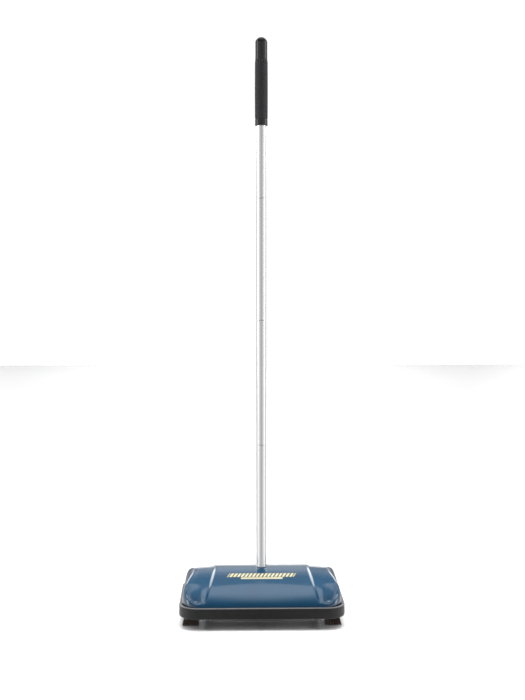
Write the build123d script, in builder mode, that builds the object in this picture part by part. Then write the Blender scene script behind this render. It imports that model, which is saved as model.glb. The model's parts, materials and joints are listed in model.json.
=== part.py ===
"""Carpet sweeper: a pressed-steel head with a friction-driven rotor, two dirt pans and a tube handle.

Millimetres. +Z is up, -Y is the front of the head, X runs across it. The origin is on the floor under
the middle of the head. The handle stands upright in the X = 0 plane.
"""

import math
import os

from build123d import *

# Head outline
BUMPER_WIDTH = 311.0
BUMPER_DEPTH = 202.0
BUMPER_CORNER = 36.0
BUMPER_BOTTOM = 21.5
BUMPER_TOP = 42.0
BUMPER_WALL = 6.0
BUMPER_LIP_WIDTH = 10.0
BUMPER_LIP_HEIGHT = 2.5
SHEET_STEEL = 0.9
FIT = 0.1

# Cover: a crowned centre panel between two lower wings
CROWN_Z = 94.4
CREASE_Y = 60.0
CREASE_Z = 76.8
FRONT_SLOPE_START = 36.0
WING_DROP = 2.4
WING_EDGE_X = 112.0
SHOULDER_RADIUS = 27.0
SIDE_LEAN = 2.5
PANEL_TOP_HALF = 86.0
PANEL_CREASE_HALF = 94.0
PANEL_FRONT_HALF = 104.0
PANEL_SET_BACK = 0.4
OVERSHOOT = 1.0

# Slot that lets the handle lean back, and the bracket under it
SLOT_HALF = 10.6
SLOT_FRONT_Y = -11.0
SLOT_REAR_Y = 61.0
BRACKET_THICKNESS = 1.6
BRACKET_EAR_X = 11.0
BRACKET_FLANGE_X = 34.0
BRACKET_HALF_LENGTH = 22.0

# Base plate and side plates
PLATE = 1.2
OPENING_HALF_X = 115.6
OPENING_CORNER = 1.5
OPENING_HALF_Y = 84.2
WEB_X = 112.0
WEB_THICKNESS = 1.6
WEB_HALF_LENGTH = 83.5
WEB_BOTTOM = 14.0
WEB_TOP = 52.0
FLANGE_WIDTH = 9.0

# Rotor and wheels: the tyres press on the rotor's end drums
ROTOR_Z = 31.5
ROTOR_RADIUS = 31.0
ROTOR_HALF = 91.0
SHAFT_RADIUS = 3.0
CORE_RADIUS = 9.0
JAW_RADIUS = 17.0
JAW_WIDTH = 8.0
BLADE_THICKNESS = 3.0
BLADE_ROOT = 11.0
DRUM_RADIUS = 14.0
DRUM_INNER_X = 95.0
DRUM_OUTER_X = 107.0
BEARING_RADIUS = 4.6
WHEEL_RADIUS = 22.0
RIM_RADIUS = 17.0
AXLE_RADIUS = 2.5
WHEEL_MID_X = 101.0
TYRE_HALF_WIDTH = 5.5
HUB_HALF_WIDTH = 5.2
TREAD_GAP = 0.3
RUNNING = 0.05

# Dirt pans and their hinge rods
HINGE_Y = 80.0
HINGE_Z = 21.0
ROD_RADIUS = 2.0
KNUCKLE_RADIUS = 3.2
PAN_HALF = 92.0
PAN_SHEET = 1.0
PAN_FLOOR_Z = 12.0
PAN_FLOOR_OUTER_Y = 77.0
PAN_FLOOR_INNER_Y = 35.5
PAN_LIP_Y = 32.0
PAN_LIP_Z = 20.0
PAN_END_TOP_Z = 36.0
SPRING_WIRE = 0.6
SPRING_RADIUS = 4.2
SPRING_PITCH = 1.5
SPRING_TURNS = 4

# Corner brushes
BRUSH_INNER_X = 120.0
BRUSH_OUTER_X = 148.0
BRUSH_FRONT_Y = 67.0
BRUSH_REAR_Y = 44.0
BRISTLE_TOP = 16.0
HOLDER_BOTTOM = 14.0
HOLDER_SHOULDER = 21.2
HOLDER_NECK_X = 145.0

# Handle
PIVOT_Z = 75.0
PIN_RADIUS = 3.0
SOCKET_HALF_WIDTH = 9.0
SOCKET_EYE_RADIUS = 8.0
TUBE_RADIUS = 9.5
TUBE_WALL = 0.9
TUBE_START_Z = 86.0
TUBE_JOINTS = [330.0, 571.0, 807.0]
TUBE_END_Z = 1095.0
TUBE_SEAM = 0.4
INSERT_HALF_LENGTH = 30.0
INSERT_WALL = 2.0
GRIP_BOTTOM = 947.0
COLLAR_TOP = 959.3
FOAM_TOP = 1074.0
GRIP_TOP = 1118.0
COLLAR_RADIUS = 12.4
FOAM_RADIUS = 12.4
FOAM_BULGE = 0.25
CAP_RADIUS = 12.1
CAP_DOME_HEIGHT = 10.5

base_top = BUMPER_BOTTOM + BUMPER_LIP_HEIGHT + PLATE
base_bottom = BUMPER_BOTTOM + BUMPER_LIP_HEIGHT
skirt_width = BUMPER_WIDTH - 2 * BUMPER_WALL
skirt_depth = BUMPER_DEPTH - 2 * BUMPER_WALL
skirt_corner = BUMPER_CORNER - BUMPER_WALL
axle_spacing = WHEEL_RADIUS + DRUM_RADIUS + TREAD_GAP
axle_y = math.sqrt(axle_spacing**2 - (ROTOR_Z - WHEEL_RADIUS) ** 2)
corners = {"front_left": (-1, -1), "front_right": (1, -1), "rear_left": (-1, 1), "rear_right": (1, 1)}

os.makedirs("parts", exist_ok=True)


def save(block, name):
    """Label a finished sub-part and write it as a STEP file."""
    block.part.label = name
    export_step(block.part, f"parts/{name}.step")


def crown_height(y):
    """Height of the centre panel's outer face at a distance y from the middle."""
    return CROWN_Z - (CROWN_Z - CREASE_Z) * (y / CREASE_Y) ** 2


def side_outline(drop, inset):
    """Side view of the cover: crowned top, a crease, then a rounded slope down to the skirt."""
    foot_y = skirt_depth / 2 - inset + OVERSHOOT
    foot_z = BUMPER_TOP + WING_DROP - drop - OVERSHOOT
    crease_y = CREASE_Y - inset / 2
    crease_z = CREASE_Z - drop - inset
    slope = math.radians(FRONT_SLOPE_START)
    with BuildSketch(Plane.YZ) as outline:
        with BuildLine():
            ThreePointArc((-crease_y, crease_z), (0, CROWN_Z - drop - inset), (crease_y, crease_z))
            TangentArc((crease_y, crease_z), (foot_y, foot_z), tangent=(math.cos(slope), -math.sin(slope)))
            Polyline((foot_y, foot_z), (foot_y, base_bottom), (-foot_y, base_bottom), (-foot_y, foot_z))
            TangentArc((-crease_y, crease_z), (-foot_y, foot_z), tangent=(-math.cos(slope), -math.sin(slope)))
        make_face()
    return outline.sketch


def wings(inset):
    """Solid under the two wings, rounded at the shoulders and the corners."""
    half = skirt_width / 2 - inset
    wide = half + OVERSHOOT / 2
    low = BUMPER_TOP - 4 * OVERSHOOT
    top = CROWN_Z - WING_DROP - inset
    with BuildPart() as solid:
        add(extrude(side_outline(WING_DROP, inset), amount=half, both=True, mode=Mode.PRIVATE))
        with BuildSketch(Plane.XZ) as across:
            with BuildLine():
                Polyline((-wide, low), (-wide, base_bottom), (wide, base_bottom), (wide, low))
                Line((wide, low), (half - SIDE_LEAN, top - SHOULDER_RADIUS))
                Line((-wide, low), (-half + SIDE_LEAN, top - SHOULDER_RADIUS))
                Spline(
                    (half - SIDE_LEAN, top - SHOULDER_RADIUS),
                    (WING_EDGE_X - inset, top),
                    tangents=[(-SIDE_LEAN, SHOULDER_RADIUS), (-1, 0.04)],
                )
                Spline(
                    (-half + SIDE_LEAN, top - SHOULDER_RADIUS),
                    (-WING_EDGE_X + inset, top),
                    tangents=[(SIDE_LEAN, SHOULDER_RADIUS), (1, 0.04)],
                )
                Line((-WING_EDGE_X + inset, top), (WING_EDGE_X - inset, top))
            make_face()
        extrude(amount=skirt_depth, both=True, mode=Mode.INTERSECT)
        with BuildSketch(Plane.XY.offset(base_bottom)):
            RectangleRounded(2 * half, skirt_depth - 2 * inset, skirt_corner - inset)
        extrude(amount=CROWN_Z, mode=Mode.INTERSECT)
    return solid.part


def centre_panel(inset):
    """Solid under the raised centre panel, which widens towards the front and the back."""
    top_half = PANEL_TOP_HALF - inset
    crease_half = PANEL_CREASE_HALF - inset
    foot_half = PANEL_FRONT_HALF - inset
    foot_y = skirt_depth / 2 - inset - PANEL_SET_BACK
    with BuildPart() as solid:
        add(extrude(side_outline(0, inset), amount=PANEL_FRONT_HALF, both=True, mode=Mode.PRIVATE))
        with BuildSketch(Plane.XY.offset(base_bottom)):
            with BuildLine():
                Polyline((foot_half, -foot_y), (crease_half, -CREASE_Y), (top_half, 0))
                Polyline((top_half, 0), (crease_half, CREASE_Y), (foot_half, foot_y), (-foot_half, foot_y))
                Polyline((-foot_half, foot_y), (-crease_half, CREASE_Y), (-top_half, 0))
                Polyline((-top_half, 0), (-crease_half, -CREASE_Y), (-foot_half, -foot_y), (foot_half, -foot_y))
            make_face()
        extrude(amount=CROWN_Z, mode=Mode.INTERSECT)
    return solid.part


def cover_solid(inset):
    """The cover's full volume, smaller all round by inset."""
    with BuildPart() as solid:
        add(wings(inset))
        add(centre_panel(inset))
    return solid.part


# Cover

with BuildPart() as cover:
    add(cover_solid(0))
    add(cover_solid(SHEET_STEEL), mode=Mode.SUBTRACT)
    with BuildSketch(Plane.XY.offset(base_bottom - 1)):
        RectangleRounded(
            skirt_width - 2 * SHEET_STEEL, skirt_depth - 2 * SHEET_STEEL, skirt_corner - SHEET_STEEL
        )
    extrude(amount=2, mode=Mode.SUBTRACT)
    with BuildSketch(Plane.XY.offset(BUMPER_TOP)):
        with Locations((0, (SLOT_FRONT_Y + SLOT_REAR_Y) / 2)):
            SlotOverall(SLOT_REAR_Y - SLOT_FRONT_Y, 2 * SLOT_HALF, rotation=90)
    extrude(amount=CROWN_Z, mode=Mode.SUBTRACT)
save(cover, "cover")

# Feet welded inside the cover, which the cover screws pull down

TAB_X = 138.0
TAB_Y = 24.0
TAB_WIDTH = 16.0
TAB_TOP = 40.0
SCREW_RADIUS = 2.0
skirt_inner_x = skirt_width / 2 - SHEET_STEEL

with BuildPart() as cover_tabs:
    for side in (-1, 1):
        with Locations((side * (TAB_X + skirt_inner_x - 6) / 2, 0, base_top)):
            with GridLocations(1, 2 * TAB_Y, 1, 2):
                Box(
                    skirt_inner_x - TAB_X + 6,
                    TAB_WIDTH,
                    PLATE,
                    align=(Align.CENTER, Align.CENTER, Align.MIN),
                )
        with Locations((side * (skirt_inner_x - PLATE / 2), 0, base_top)):
            with GridLocations(1, 2 * TAB_Y, 1, 2):
                Box(PLATE, TAB_WIDTH, TAB_TOP - base_top, align=(Align.CENTER, Align.CENTER, Align.MIN))
    with Locations((0, 0, base_top)):
        with GridLocations(2 * TAB_X, 2 * TAB_Y, 2, 2):
            Cylinder(SCREW_RADIUS, 3 * PLATE, mode=Mode.SUBTRACT)
save(cover_tabs, "cover_tabs")

with BuildPart() as cover_screws:
    with GridLocations(2 * TAB_X, 2 * TAB_Y, 2, 2):
        with Locations((0, 0, base_bottom - 2)):
            Cylinder(2 * SCREW_RADIUS, 2, align=(Align.CENTER, Align.CENTER, Align.MIN))
        with Locations((0, 0, base_bottom - 1)):
            Cylinder(SCREW_RADIUS, 9, align=(Align.CENTER, Align.CENTER, Align.MIN))
    chamfer(cover_screws.faces().filter_by(Plane.XY).group_by(Axis.Z)[0].edges(), length=0.6)
    for side in (-1, 1):
        for end in (-1, 1):
            with Locations((side * TAB_X, end * TAB_Y, base_bottom - 2)):
                Box(2 * SCREW_RADIUS + 1, 0.8, 1.6, mode=Mode.SUBTRACT)
                Box(0.8, 2 * SCREW_RADIUS + 1, 1.6, mode=Mode.SUBTRACT)
save(cover_screws, "cover_screws")

# Bumper ring: an L-section that wraps the skirt and tucks under the base plate

with BuildPart() as bumper:
    with BuildSketch(Plane.XY.offset(BUMPER_BOTTOM)):
        RectangleRounded(BUMPER_WIDTH, BUMPER_DEPTH, BUMPER_CORNER)
    extrude(amount=BUMPER_TOP - BUMPER_BOTTOM)
    bumper_rims = bumper.faces().filter_by(Plane.XY).edges()
    fillet(bumper_rims, radius=2.2)
    with BuildSketch(Plane.XY.offset(base_bottom)):
        RectangleRounded(skirt_width + FIT, skirt_depth + FIT, skirt_corner + FIT / 2)
    extrude(amount=BUMPER_TOP, mode=Mode.SUBTRACT)
    with BuildSketch(Plane.XY.offset(BUMPER_BOTTOM)):
        RectangleRounded(
            BUMPER_WIDTH - 2 * BUMPER_LIP_WIDTH,
            BUMPER_DEPTH - 2 * BUMPER_LIP_WIDTH,
            BUMPER_CORNER - BUMPER_LIP_WIDTH,
        )
    extrude(amount=BUMPER_TOP, mode=Mode.SUBTRACT)
save(bumper, "bumper")

# Base plate

RIVET_X = 118.0
RIVET_YS = (-66.0, -20.0, 20.0, 66.0)
RIVET_RADIUS = 1.5
brush_mid_x = (BRUSH_INNER_X + BRUSH_OUTER_X) / 2
brush_mid_y = (BRUSH_FRONT_Y + BRUSH_REAR_Y) / 2
BRUSH_RIVET_X = 7.0

with BuildPart() as base_plate:
    with BuildSketch(Plane.XY.offset(base_bottom)):
        RectangleRounded(
            skirt_width - 2 * SHEET_STEEL - 2 * FIT,
            skirt_depth - 2 * SHEET_STEEL - 2 * FIT,
            skirt_corner - SHEET_STEEL - FIT,
        )
        RectangleRounded(2 * OPENING_HALF_X, 2 * OPENING_HALF_Y, OPENING_CORNER, mode=Mode.SUBTRACT)
        with GridLocations(2 * TAB_X, 2 * TAB_Y, 2, 2):
            Circle(SCREW_RADIUS, mode=Mode.SUBTRACT)
        for y in RIVET_YS:
            with GridLocations(2 * RIVET_X, 1, 2, 1):
                with Locations((0, y)):
                    Circle(RIVET_RADIUS, mode=Mode.SUBTRACT)
        for offset_x in (-BRUSH_RIVET_X, BRUSH_RIVET_X):
            with GridLocations(2 * (brush_mid_x + offset_x), 2 * brush_mid_y, 2, 2):
                Circle(SCREW_RADIUS, mode=Mode.SUBTRACT)
    extrude(amount=PLATE)
save(base_plate, "base_plate")

# Side plates carry the rotor bearings, the wheel axles and the pan rods

for side, name in ((-1, "side_plate_left"), (1, "side_plate_right")):
    with BuildPart() as side_plate:
        with BuildSketch(Plane.YZ.offset(side * WEB_X)):
            with BuildLine():
                Polyline(
                    (-WEB_HALF_LENGTH, WEB_BOTTOM + 4),
                    (-WEB_HALF_LENGTH, base_top + WEB_THICKNESS + 2),
                    (-WEB_HALF_LENGTH / 2, WEB_TOP),
                    (WEB_HALF_LENGTH / 2, WEB_TOP),
                    (WEB_HALF_LENGTH, base_top + WEB_THICKNESS + 2),
                    (WEB_HALF_LENGTH, WEB_BOTTOM + 4),
                    (WEB_HALF_LENGTH - 4, WEB_BOTTOM),
                    (-WEB_HALF_LENGTH + 4, WEB_BOTTOM),
                    (-WEB_HALF_LENGTH, WEB_BOTTOM + 4),
                )
            make_face()
            with Locations((0, ROTOR_Z)):
                Circle(BEARING_RADIUS, mode=Mode.SUBTRACT)
            with Locations((-axle_y, WHEEL_RADIUS), (axle_y, WHEEL_RADIUS)):
                Circle(AXLE_RADIUS, mode=Mode.SUBTRACT)
            with Locations((-HINGE_Y, HINGE_Z), (HINGE_Y, HINGE_Z)):
                Circle(ROD_RADIUS, mode=Mode.SUBTRACT)
        extrude(amount=side * WEB_THICKNESS)
        with BuildSketch(Plane.XY.offset(base_top)):
            with Locations((side * (WEB_X + FLANGE_WIDTH / 2 + WEB_THICKNESS / 2), 0)):
                Rectangle(FLANGE_WIDTH - WEB_THICKNESS + 1, 2 * WEB_HALF_LENGTH)
            with Locations(*[(side * RIVET_X, y) for y in RIVET_YS]):
                Circle(RIVET_RADIUS, mode=Mode.SUBTRACT)
        extrude(amount=WEB_THICKNESS)
    save(side_plate, name)

with BuildPart() as plate_rivets:
    for y in RIVET_YS:
        with Locations((0, y, base_bottom - 1)):
            with GridLocations(2 * RIVET_X, 1, 2, 1):
                Cylinder(2 * RIVET_RADIUS, 1, align=(Align.CENTER, Align.CENTER, Align.MIN))
                Cylinder(RIVET_RADIUS, 6, align=(Align.CENTER, Align.CENTER, Align.MIN))
        with Locations((0, y, base_top + WEB_THICKNESS)):
            with GridLocations(2 * RIVET_X, 1, 2, 1):
                Cylinder(2 * RIVET_RADIUS, 1.2, align=(Align.CENTER, Align.CENTER, Align.MIN))
    rivet_heads = plate_rivets.faces().filter_by(Plane.XY).group_by(Axis.Z)[-1].edges()
    chamfer(rivet_heads, length=0.5)
save(plate_rivets, "plate_rivets")

# Corner brushes

for name, (side, end) in corners.items():
    with BuildPart() as holder:
        with BuildSketch(Plane.XY.offset(HOLDER_BOTTOM)):
            with Locations((side * brush_mid_x, end * brush_mid_y)):
                RectangleRounded(
                    BRUSH_OUTER_X - BRUSH_INNER_X - 2, BRUSH_FRONT_Y - BRUSH_REAR_Y - 2, 3
                )
        extrude(amount=HOLDER_SHOULDER - HOLDER_BOTTOM)
        neck_width = HOLDER_NECK_X - BRUSH_INNER_X - 1
        with BuildSketch(Plane.XY.offset(HOLDER_SHOULDER)):
            with Locations((side * (HOLDER_NECK_X - neck_width / 2), end * brush_mid_y)):
                RectangleRounded(neck_width, BRUSH_FRONT_Y - BRUSH_REAR_Y - 2, 2)
        extrude(amount=base_bottom - HOLDER_SHOULDER)
        with BuildSketch(Plane.XY.offset(HOLDER_BOTTOM)):
            with Locations((side * brush_mid_x, end * brush_mid_y)):
                RectangleRounded(
                    BRUSH_OUTER_X - BRUSH_INNER_X - 5, BRUSH_FRONT_Y - BRUSH_REAR_Y - 5, 2
                )
        extrude(amount=BRISTLE_TOP - HOLDER_BOTTOM, mode=Mode.SUBTRACT)
        with Locations((side * brush_mid_x, end * brush_mid_y, base_bottom)):
            with GridLocations(2 * BRUSH_RIVET_X, 1, 2, 1):
                Cylinder(SCREW_RADIUS, 7, mode=Mode.SUBTRACT)
    save(holder, f"corner_holder_{name}")

    with BuildPart() as bristles:
        with BuildSketch(Plane.XY):
            with Locations((side * brush_mid_x, end * brush_mid_y)):
                RectangleRounded(BRUSH_OUTER_X - BRUSH_INNER_X, BRUSH_FRONT_Y - BRUSH_REAR_Y, 3)
        with BuildSketch(Plane.XY.offset(BRISTLE_TOP)):
            with Locations((side * brush_mid_x, end * brush_mid_y)):
                RectangleRounded(
                    BRUSH_OUTER_X - BRUSH_INNER_X - 5, BRUSH_FRONT_Y - BRUSH_REAR_Y - 5, 2
                )
        loft()
        with BuildSketch(Plane.XY.offset(HOLDER_BOTTOM)):
            with Locations((side * brush_mid_x, end * brush_mid_y)):
                RectangleRounded(
                    BRUSH_OUTER_X - BRUSH_INNER_X + 4, BRUSH_FRONT_Y - BRUSH_REAR_Y + 4, 3
                )
                RectangleRounded(
                    BRUSH_OUTER_X - BRUSH_INNER_X - 5,
                    BRUSH_FRONT_Y - BRUSH_REAR_Y - 5,
                    2,
                    mode=Mode.SUBTRACT,
                )
        extrude(amount=BRISTLE_TOP, mode=Mode.SUBTRACT)
    save(bristles, f"corner_bristles_{name}")

with BuildPart() as brush_rivets:
    for offset_x in (-BRUSH_RIVET_X, BRUSH_RIVET_X):
        with GridLocations(2 * (brush_mid_x + offset_x), 2 * brush_mid_y, 2, 2):
            with Locations((0, 0, base_bottom - 3.5)):
                Cylinder(SCREW_RADIUS, 3.5 + PLATE, align=(Align.CENTER, Align.CENTER, Align.MIN))
            with Locations((0, 0, base_top)):
                Cylinder(2 * SCREW_RADIUS, 1.5, align=(Align.CENTER, Align.CENTER, Align.MIN))
    chamfer(brush_rivets.faces().filter_by(Plane.XY).group_by(Axis.Z)[-1].edges(), length=0.7)
save(brush_rivets, "brush_rivets")

# Rotor

with BuildPart() as rotor_shaft:
    with BuildSketch(Plane.YZ.offset(-WEB_X - 7)):
        with Locations((0, ROTOR_Z)):
            Circle(SHAFT_RADIUS)
    extrude(amount=2 * (WEB_X + 7))
    chamfer(rotor_shaft.edges().filter_by(GeomType.CIRCLE), length=0.6)
save(rotor_shaft, "rotor_shaft")

rotor_plane = Plane(origin=(0, 0, ROTOR_Z), x_dir=(0, 1, 0), z_dir=(1, 0, 0))

with BuildPart() as rotor_core:
    with BuildSketch(rotor_plane.offset(-ROTOR_HALF)):
        Circle(CORE_RADIUS)
        with PolarLocations((CORE_RADIUS + JAW_RADIUS) / 2 - 1, 4, start_angle=45):
            Rectangle(JAW_RADIUS - CORE_RADIUS + 2, JAW_WIDTH)
        with PolarLocations((BLADE_ROOT + JAW_RADIUS) / 2 + 1, 4, start_angle=45):
            Rectangle(JAW_RADIUS - BLADE_ROOT + 2, BLADE_THICKNESS, mode=Mode.SUBTRACT)
        Circle(SHAFT_RADIUS, mode=Mode.SUBTRACT)
    extrude(amount=2 * ROTOR_HALF)
save(rotor_core, "rotor_core")

for number in range(4):
    with BuildPart() as blade:
        with BuildSketch(rotor_plane.offset(-ROTOR_HALF)):
            with PolarLocations((BLADE_ROOT + ROTOR_RADIUS) / 2, 1, start_angle=45 + 90 * number):
                Rectangle(ROTOR_RADIUS - BLADE_ROOT, BLADE_THICKNESS)
        extrude(amount=2 * ROTOR_HALF)
    save(blade, f"rotor_blade_{number + 1}")

for side, name in ((-1, "rotor_drum_left"), (1, "rotor_drum_right")):
    with BuildPart() as drum:
        with BuildSketch(rotor_plane.offset(side * DRUM_INNER_X)):
            Circle(DRUM_RADIUS)
            Circle(SHAFT_RADIUS, mode=Mode.SUBTRACT)
        extrude(amount=side * (DRUM_OUTER_X - DRUM_INNER_X))
        with BuildSketch(rotor_plane.offset(side * DRUM_OUTER_X)):
            Circle(DRUM_RADIUS - 2.5)
            Circle(SHAFT_RADIUS + 2.5, mode=Mode.SUBTRACT)
        extrude(amount=-side * 4, mode=Mode.SUBTRACT)
        chamfer(drum.edges().filter_by(GeomType.CIRCLE).group_by(SortBy.RADIUS)[-1], length=0.7)
    save(drum, name)

with BuildPart() as rotor_clips:
    for side in (-1, 1):
        with BuildSketch(rotor_plane.offset(side * (WEB_X + 4.2))):
            Circle(SHAFT_RADIUS + 1.6)
            Circle(SHAFT_RADIUS, mode=Mode.SUBTRACT)
            with Locations((0, -SHAFT_RADIUS - 1.5)):
                Rectangle(2 * SHAFT_RADIUS - 1.5, 5, mode=Mode.SUBTRACT)
        extrude(amount=side * 1)
save(rotor_clips, "rotor_clips")

for side, name in ((-1, "rotor_bearing_left"), (1, "rotor_bearing_right")):
    with BuildPart() as bearing:
        with BuildSketch(rotor_plane.offset(side * (WEB_X - 2))):
            Circle(BEARING_RADIUS + 2.5)
        extrude(amount=side * 2)
        with BuildSketch(rotor_plane.offset(side * WEB_X)):
            Circle(BEARING_RADIUS)
        extrude(amount=side * (WEB_THICKNESS + 2))
        with BuildSketch(rotor_plane.offset(side * (WEB_X - 3))):
            Circle(SHAFT_RADIUS + RUNNING)
        extrude(amount=side * 10, mode=Mode.SUBTRACT)
    save(bearing, name)

# Wheels: a moulded hub with a rubber tyre, on a headed axle with a clip

hub_inner = AXLE_RADIUS + RUNNING
with BuildPart() as wheel_axles:
    for side in (-1, 1):
        for end in (-1, 1):
            axle_origin = (side * WHEEL_MID_X, end * axle_y, WHEEL_RADIUS)
            axle_plane = Plane(origin=axle_origin, x_dir=(0, 1, 0), z_dir=(side, 0, 0))
            with BuildSketch(axle_plane.offset(-HUB_HALF_WIDTH - 2.4)):
                Circle(AXLE_RADIUS)
            extrude(amount=WEB_X + WEB_THICKNESS - WHEEL_MID_X + HUB_HALF_WIDTH + 2.4)
            with BuildSketch(axle_plane.offset(HUB_HALF_WIDTH + 0.8)):
                Circle(AXLE_RADIUS + 1.5)
            extrude(amount=WEB_X - WHEEL_MID_X - HUB_HALF_WIDTH - 0.8)
            with BuildSketch(axle_plane.offset(WEB_X + WEB_THICKNESS - WHEEL_MID_X)):
                Circle(AXLE_RADIUS + 0.6)
            extrude(amount=1.6)
save(wheel_axles, "wheel_axles")

with BuildPart() as wheel_clips:
    for side in (-1, 1):
        for end in (-1, 1):
            clip_origin = (side * (WHEEL_MID_X - HUB_HALF_WIDTH - 0.4), end * axle_y, WHEEL_RADIUS)
            clip_plane = Plane(origin=clip_origin, x_dir=(0, 1, 0), z_dir=(-side, 0, 0))
            with BuildSketch(clip_plane):
                Circle(AXLE_RADIUS + 2)
                Circle(AXLE_RADIUS, mode=Mode.SUBTRACT)
                with Locations((0, -AXLE_RADIUS - 1.2)):
                    Rectangle(2 * AXLE_RADIUS - 1.4, 4, mode=Mode.SUBTRACT)
            extrude(amount=0.8)
save(wheel_clips, "wheel_clips")

for name, (side, end) in corners.items():
    wheel_origin = (side * WHEEL_MID_X, end * axle_y, WHEEL_RADIUS)
    wheel_plane = Plane(origin=wheel_origin, x_dir=(0, 1, 0), z_dir=(side, 0, 0))
    with BuildPart() as hub:
        with BuildSketch(wheel_plane.offset(-HUB_HALF_WIDTH)):
            Circle(RIM_RADIUS)
        extrude(amount=2 * HUB_HALF_WIDTH)
        for start in (-HUB_HALF_WIDTH, HUB_HALF_WIDTH - 3.6):
            with BuildSketch(wheel_plane.offset(start)):
                Circle(RIM_RADIUS - 2.6)
                Circle(AXLE_RADIUS + 3, mode=Mode.SUBTRACT)
            extrude(amount=3.6, mode=Mode.SUBTRACT)
        with BuildSketch(wheel_plane.offset(-HUB_HALF_WIDTH)):
            with PolarLocations(RIM_RADIUS * 0.58, 5):
                Circle(2.3)
            Circle(hub_inner)
        extrude(amount=2 * HUB_HALF_WIDTH, mode=Mode.SUBTRACT)
    save(hub, f"wheel_hub_{name}")

    with BuildPart() as tyre:
        with BuildSketch(wheel_plane.offset(-TYRE_HALF_WIDTH)):
            Circle(WHEEL_RADIUS)
        extrude(amount=2 * TYRE_HALF_WIDTH)
        fillet(tyre.edges().filter_by(GeomType.CIRCLE), radius=1.6)
        with BuildSketch(wheel_plane.offset(-TYRE_HALF_WIDTH)):
            Circle(RIM_RADIUS)
        extrude(amount=2 * TYRE_HALF_WIDTH, mode=Mode.SUBTRACT)
    save(tyre, f"wheel_tyre_{name}")

# Dirt pans swing down about rods near the front and back edges

for end, name in ((-1, "front"), (1, "rear")):
    floor_outer = end * PAN_FLOOR_OUTER_Y
    floor_inner = end * PAN_FLOOR_INNER_Y
    with BuildPart() as pan:
        with BuildSketch(Plane.YZ.offset(-PAN_HALF)):
            with BuildLine():
                Polyline(
                    (end * (HINGE_Y - 0.6), HINGE_Z - ROD_RADIUS - 0.6),
                    (floor_outer, PAN_FLOOR_Z),
                    (floor_inner, PAN_FLOOR_Z),
                    (end * PAN_LIP_Y, PAN_LIP_Z),
                    (end * (PAN_LIP_Y + PAN_SHEET), PAN_LIP_Z + 0.4),
                    (floor_inner + end * 0.6, PAN_FLOOR_Z + PAN_SHEET),
                    (floor_outer - end * 0.8, PAN_FLOOR_Z + PAN_SHEET),
                    (end * (HINGE_Y - 1.8), HINGE_Z - ROD_RADIUS - 0.4),
                    (end * (HINGE_Y - 0.6), HINGE_Z - ROD_RADIUS - 0.6),
                )
            make_face()
            with Locations((end * HINGE_Y, HINGE_Z)):
                Circle(KNUCKLE_RADIUS)
                Circle(ROD_RADIUS + RUNNING, mode=Mode.SUBTRACT)
        extrude(amount=2 * PAN_HALF)
        for start in (-PAN_HALF, PAN_HALF - PAN_SHEET):
            with BuildSketch(Plane.YZ.offset(start)):
                with BuildLine():
                    Polyline(
                        (floor_outer, PAN_FLOOR_Z),
                        (floor_inner, PAN_FLOOR_Z),
                        (end * (PAN_LIP_Y + 1.2), PAN_LIP_Z),
                        (end * (PAN_LIP_Y + 4.5), PAN_END_TOP_Z),
                        (floor_outer, PAN_END_TOP_Z),
                        (floor_outer, PAN_FLOOR_Z),
                    )
                make_face()
            extrude(amount=PAN_SHEET)
    save(pan, f"{name}_pan")

    with BuildPart() as rod:
        rod_plane = Plane(origin=(0, end * HINGE_Y, HINGE_Z), x_dir=(0, 1, 0), z_dir=(1, 0, 0))
        with BuildSketch(rod_plane.offset(-WEB_X - WEB_THICKNESS - 1.2)):
            Circle(ROD_RADIUS)
        extrude(amount=2 * (WEB_X + WEB_THICKNESS + 1.2))
        for side in (-1, 1):
            with BuildSketch(rod_plane.offset(side * (WEB_X + WEB_THICKNESS))):
                Circle(ROD_RADIUS + 1)
            extrude(amount=side * 1.2)
    save(rod, f"{name}_pan_rod")

    with BuildPart() as spring:
        coil_start = PAN_HALF + 3.0
        with BuildLine() as coil_path:
            Helix(
                pitch=SPRING_PITCH,
                height=SPRING_PITCH * SPRING_TURNS,
                radius=SPRING_RADIUS,
                center=(coil_start, end * HINGE_Y, HINGE_Z),
                direction=(1, 0, 0),
            )
        with BuildSketch(Plane(origin=coil_path.line @ 0, z_dir=coil_path.line % 0)):
            Circle(SPRING_WIRE)
        sweep(path=coil_path.line, is_frenet=True)
    save(spring, f"{name}_pan_spring")

# Handle bracket, welded under the crown on both sides of the slot

bracket_top = cover_solid(SHEET_STEEL + FIT)
bracket_underside = cover_solid(SHEET_STEEL + FIT + BRACKET_THICKNESS)
ear_top = crown_height(SOCKET_EYE_RADIUS) - SHEET_STEEL - BRACKET_THICKNESS

with BuildPart() as handle_bracket:
    with BuildSketch(Plane.XY.offset(PIVOT_Z)):
        with GridLocations(BRACKET_EAR_X + BRACKET_FLANGE_X, 1, 2, 1):
            RectangleRounded(BRACKET_FLANGE_X - BRACKET_EAR_X, 2 * BRACKET_HALF_LENGTH, 4)
    extrude(amount=CROWN_Z - PIVOT_Z)
    add(bracket_top, mode=Mode.INTERSECT)
    add(bracket_underside, mode=Mode.SUBTRACT)
    for side in (-1, 1):
        with BuildSketch(Plane.YZ.offset(side * BRACKET_EAR_X)):
            with Locations((0, PIVOT_Z)):
                Circle(SOCKET_EYE_RADIUS)
            with Locations((0, (PIVOT_Z + ear_top) / 2)):
                Rectangle(2 * SOCKET_EYE_RADIUS, ear_top - PIVOT_Z)
            with Locations((0, PIVOT_Z)):
                Circle(PIN_RADIUS, mode=Mode.SUBTRACT)
        extrude(amount=side * BRACKET_THICKNESS)
save(handle_bracket, "handle_bracket")

pivot_plane = Plane(origin=(0, 0, PIVOT_Z), x_dir=(0, 1, 0), z_dir=(1, 0, 0))
pin_half = BRACKET_EAR_X + BRACKET_THICKNESS + 2.6

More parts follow.
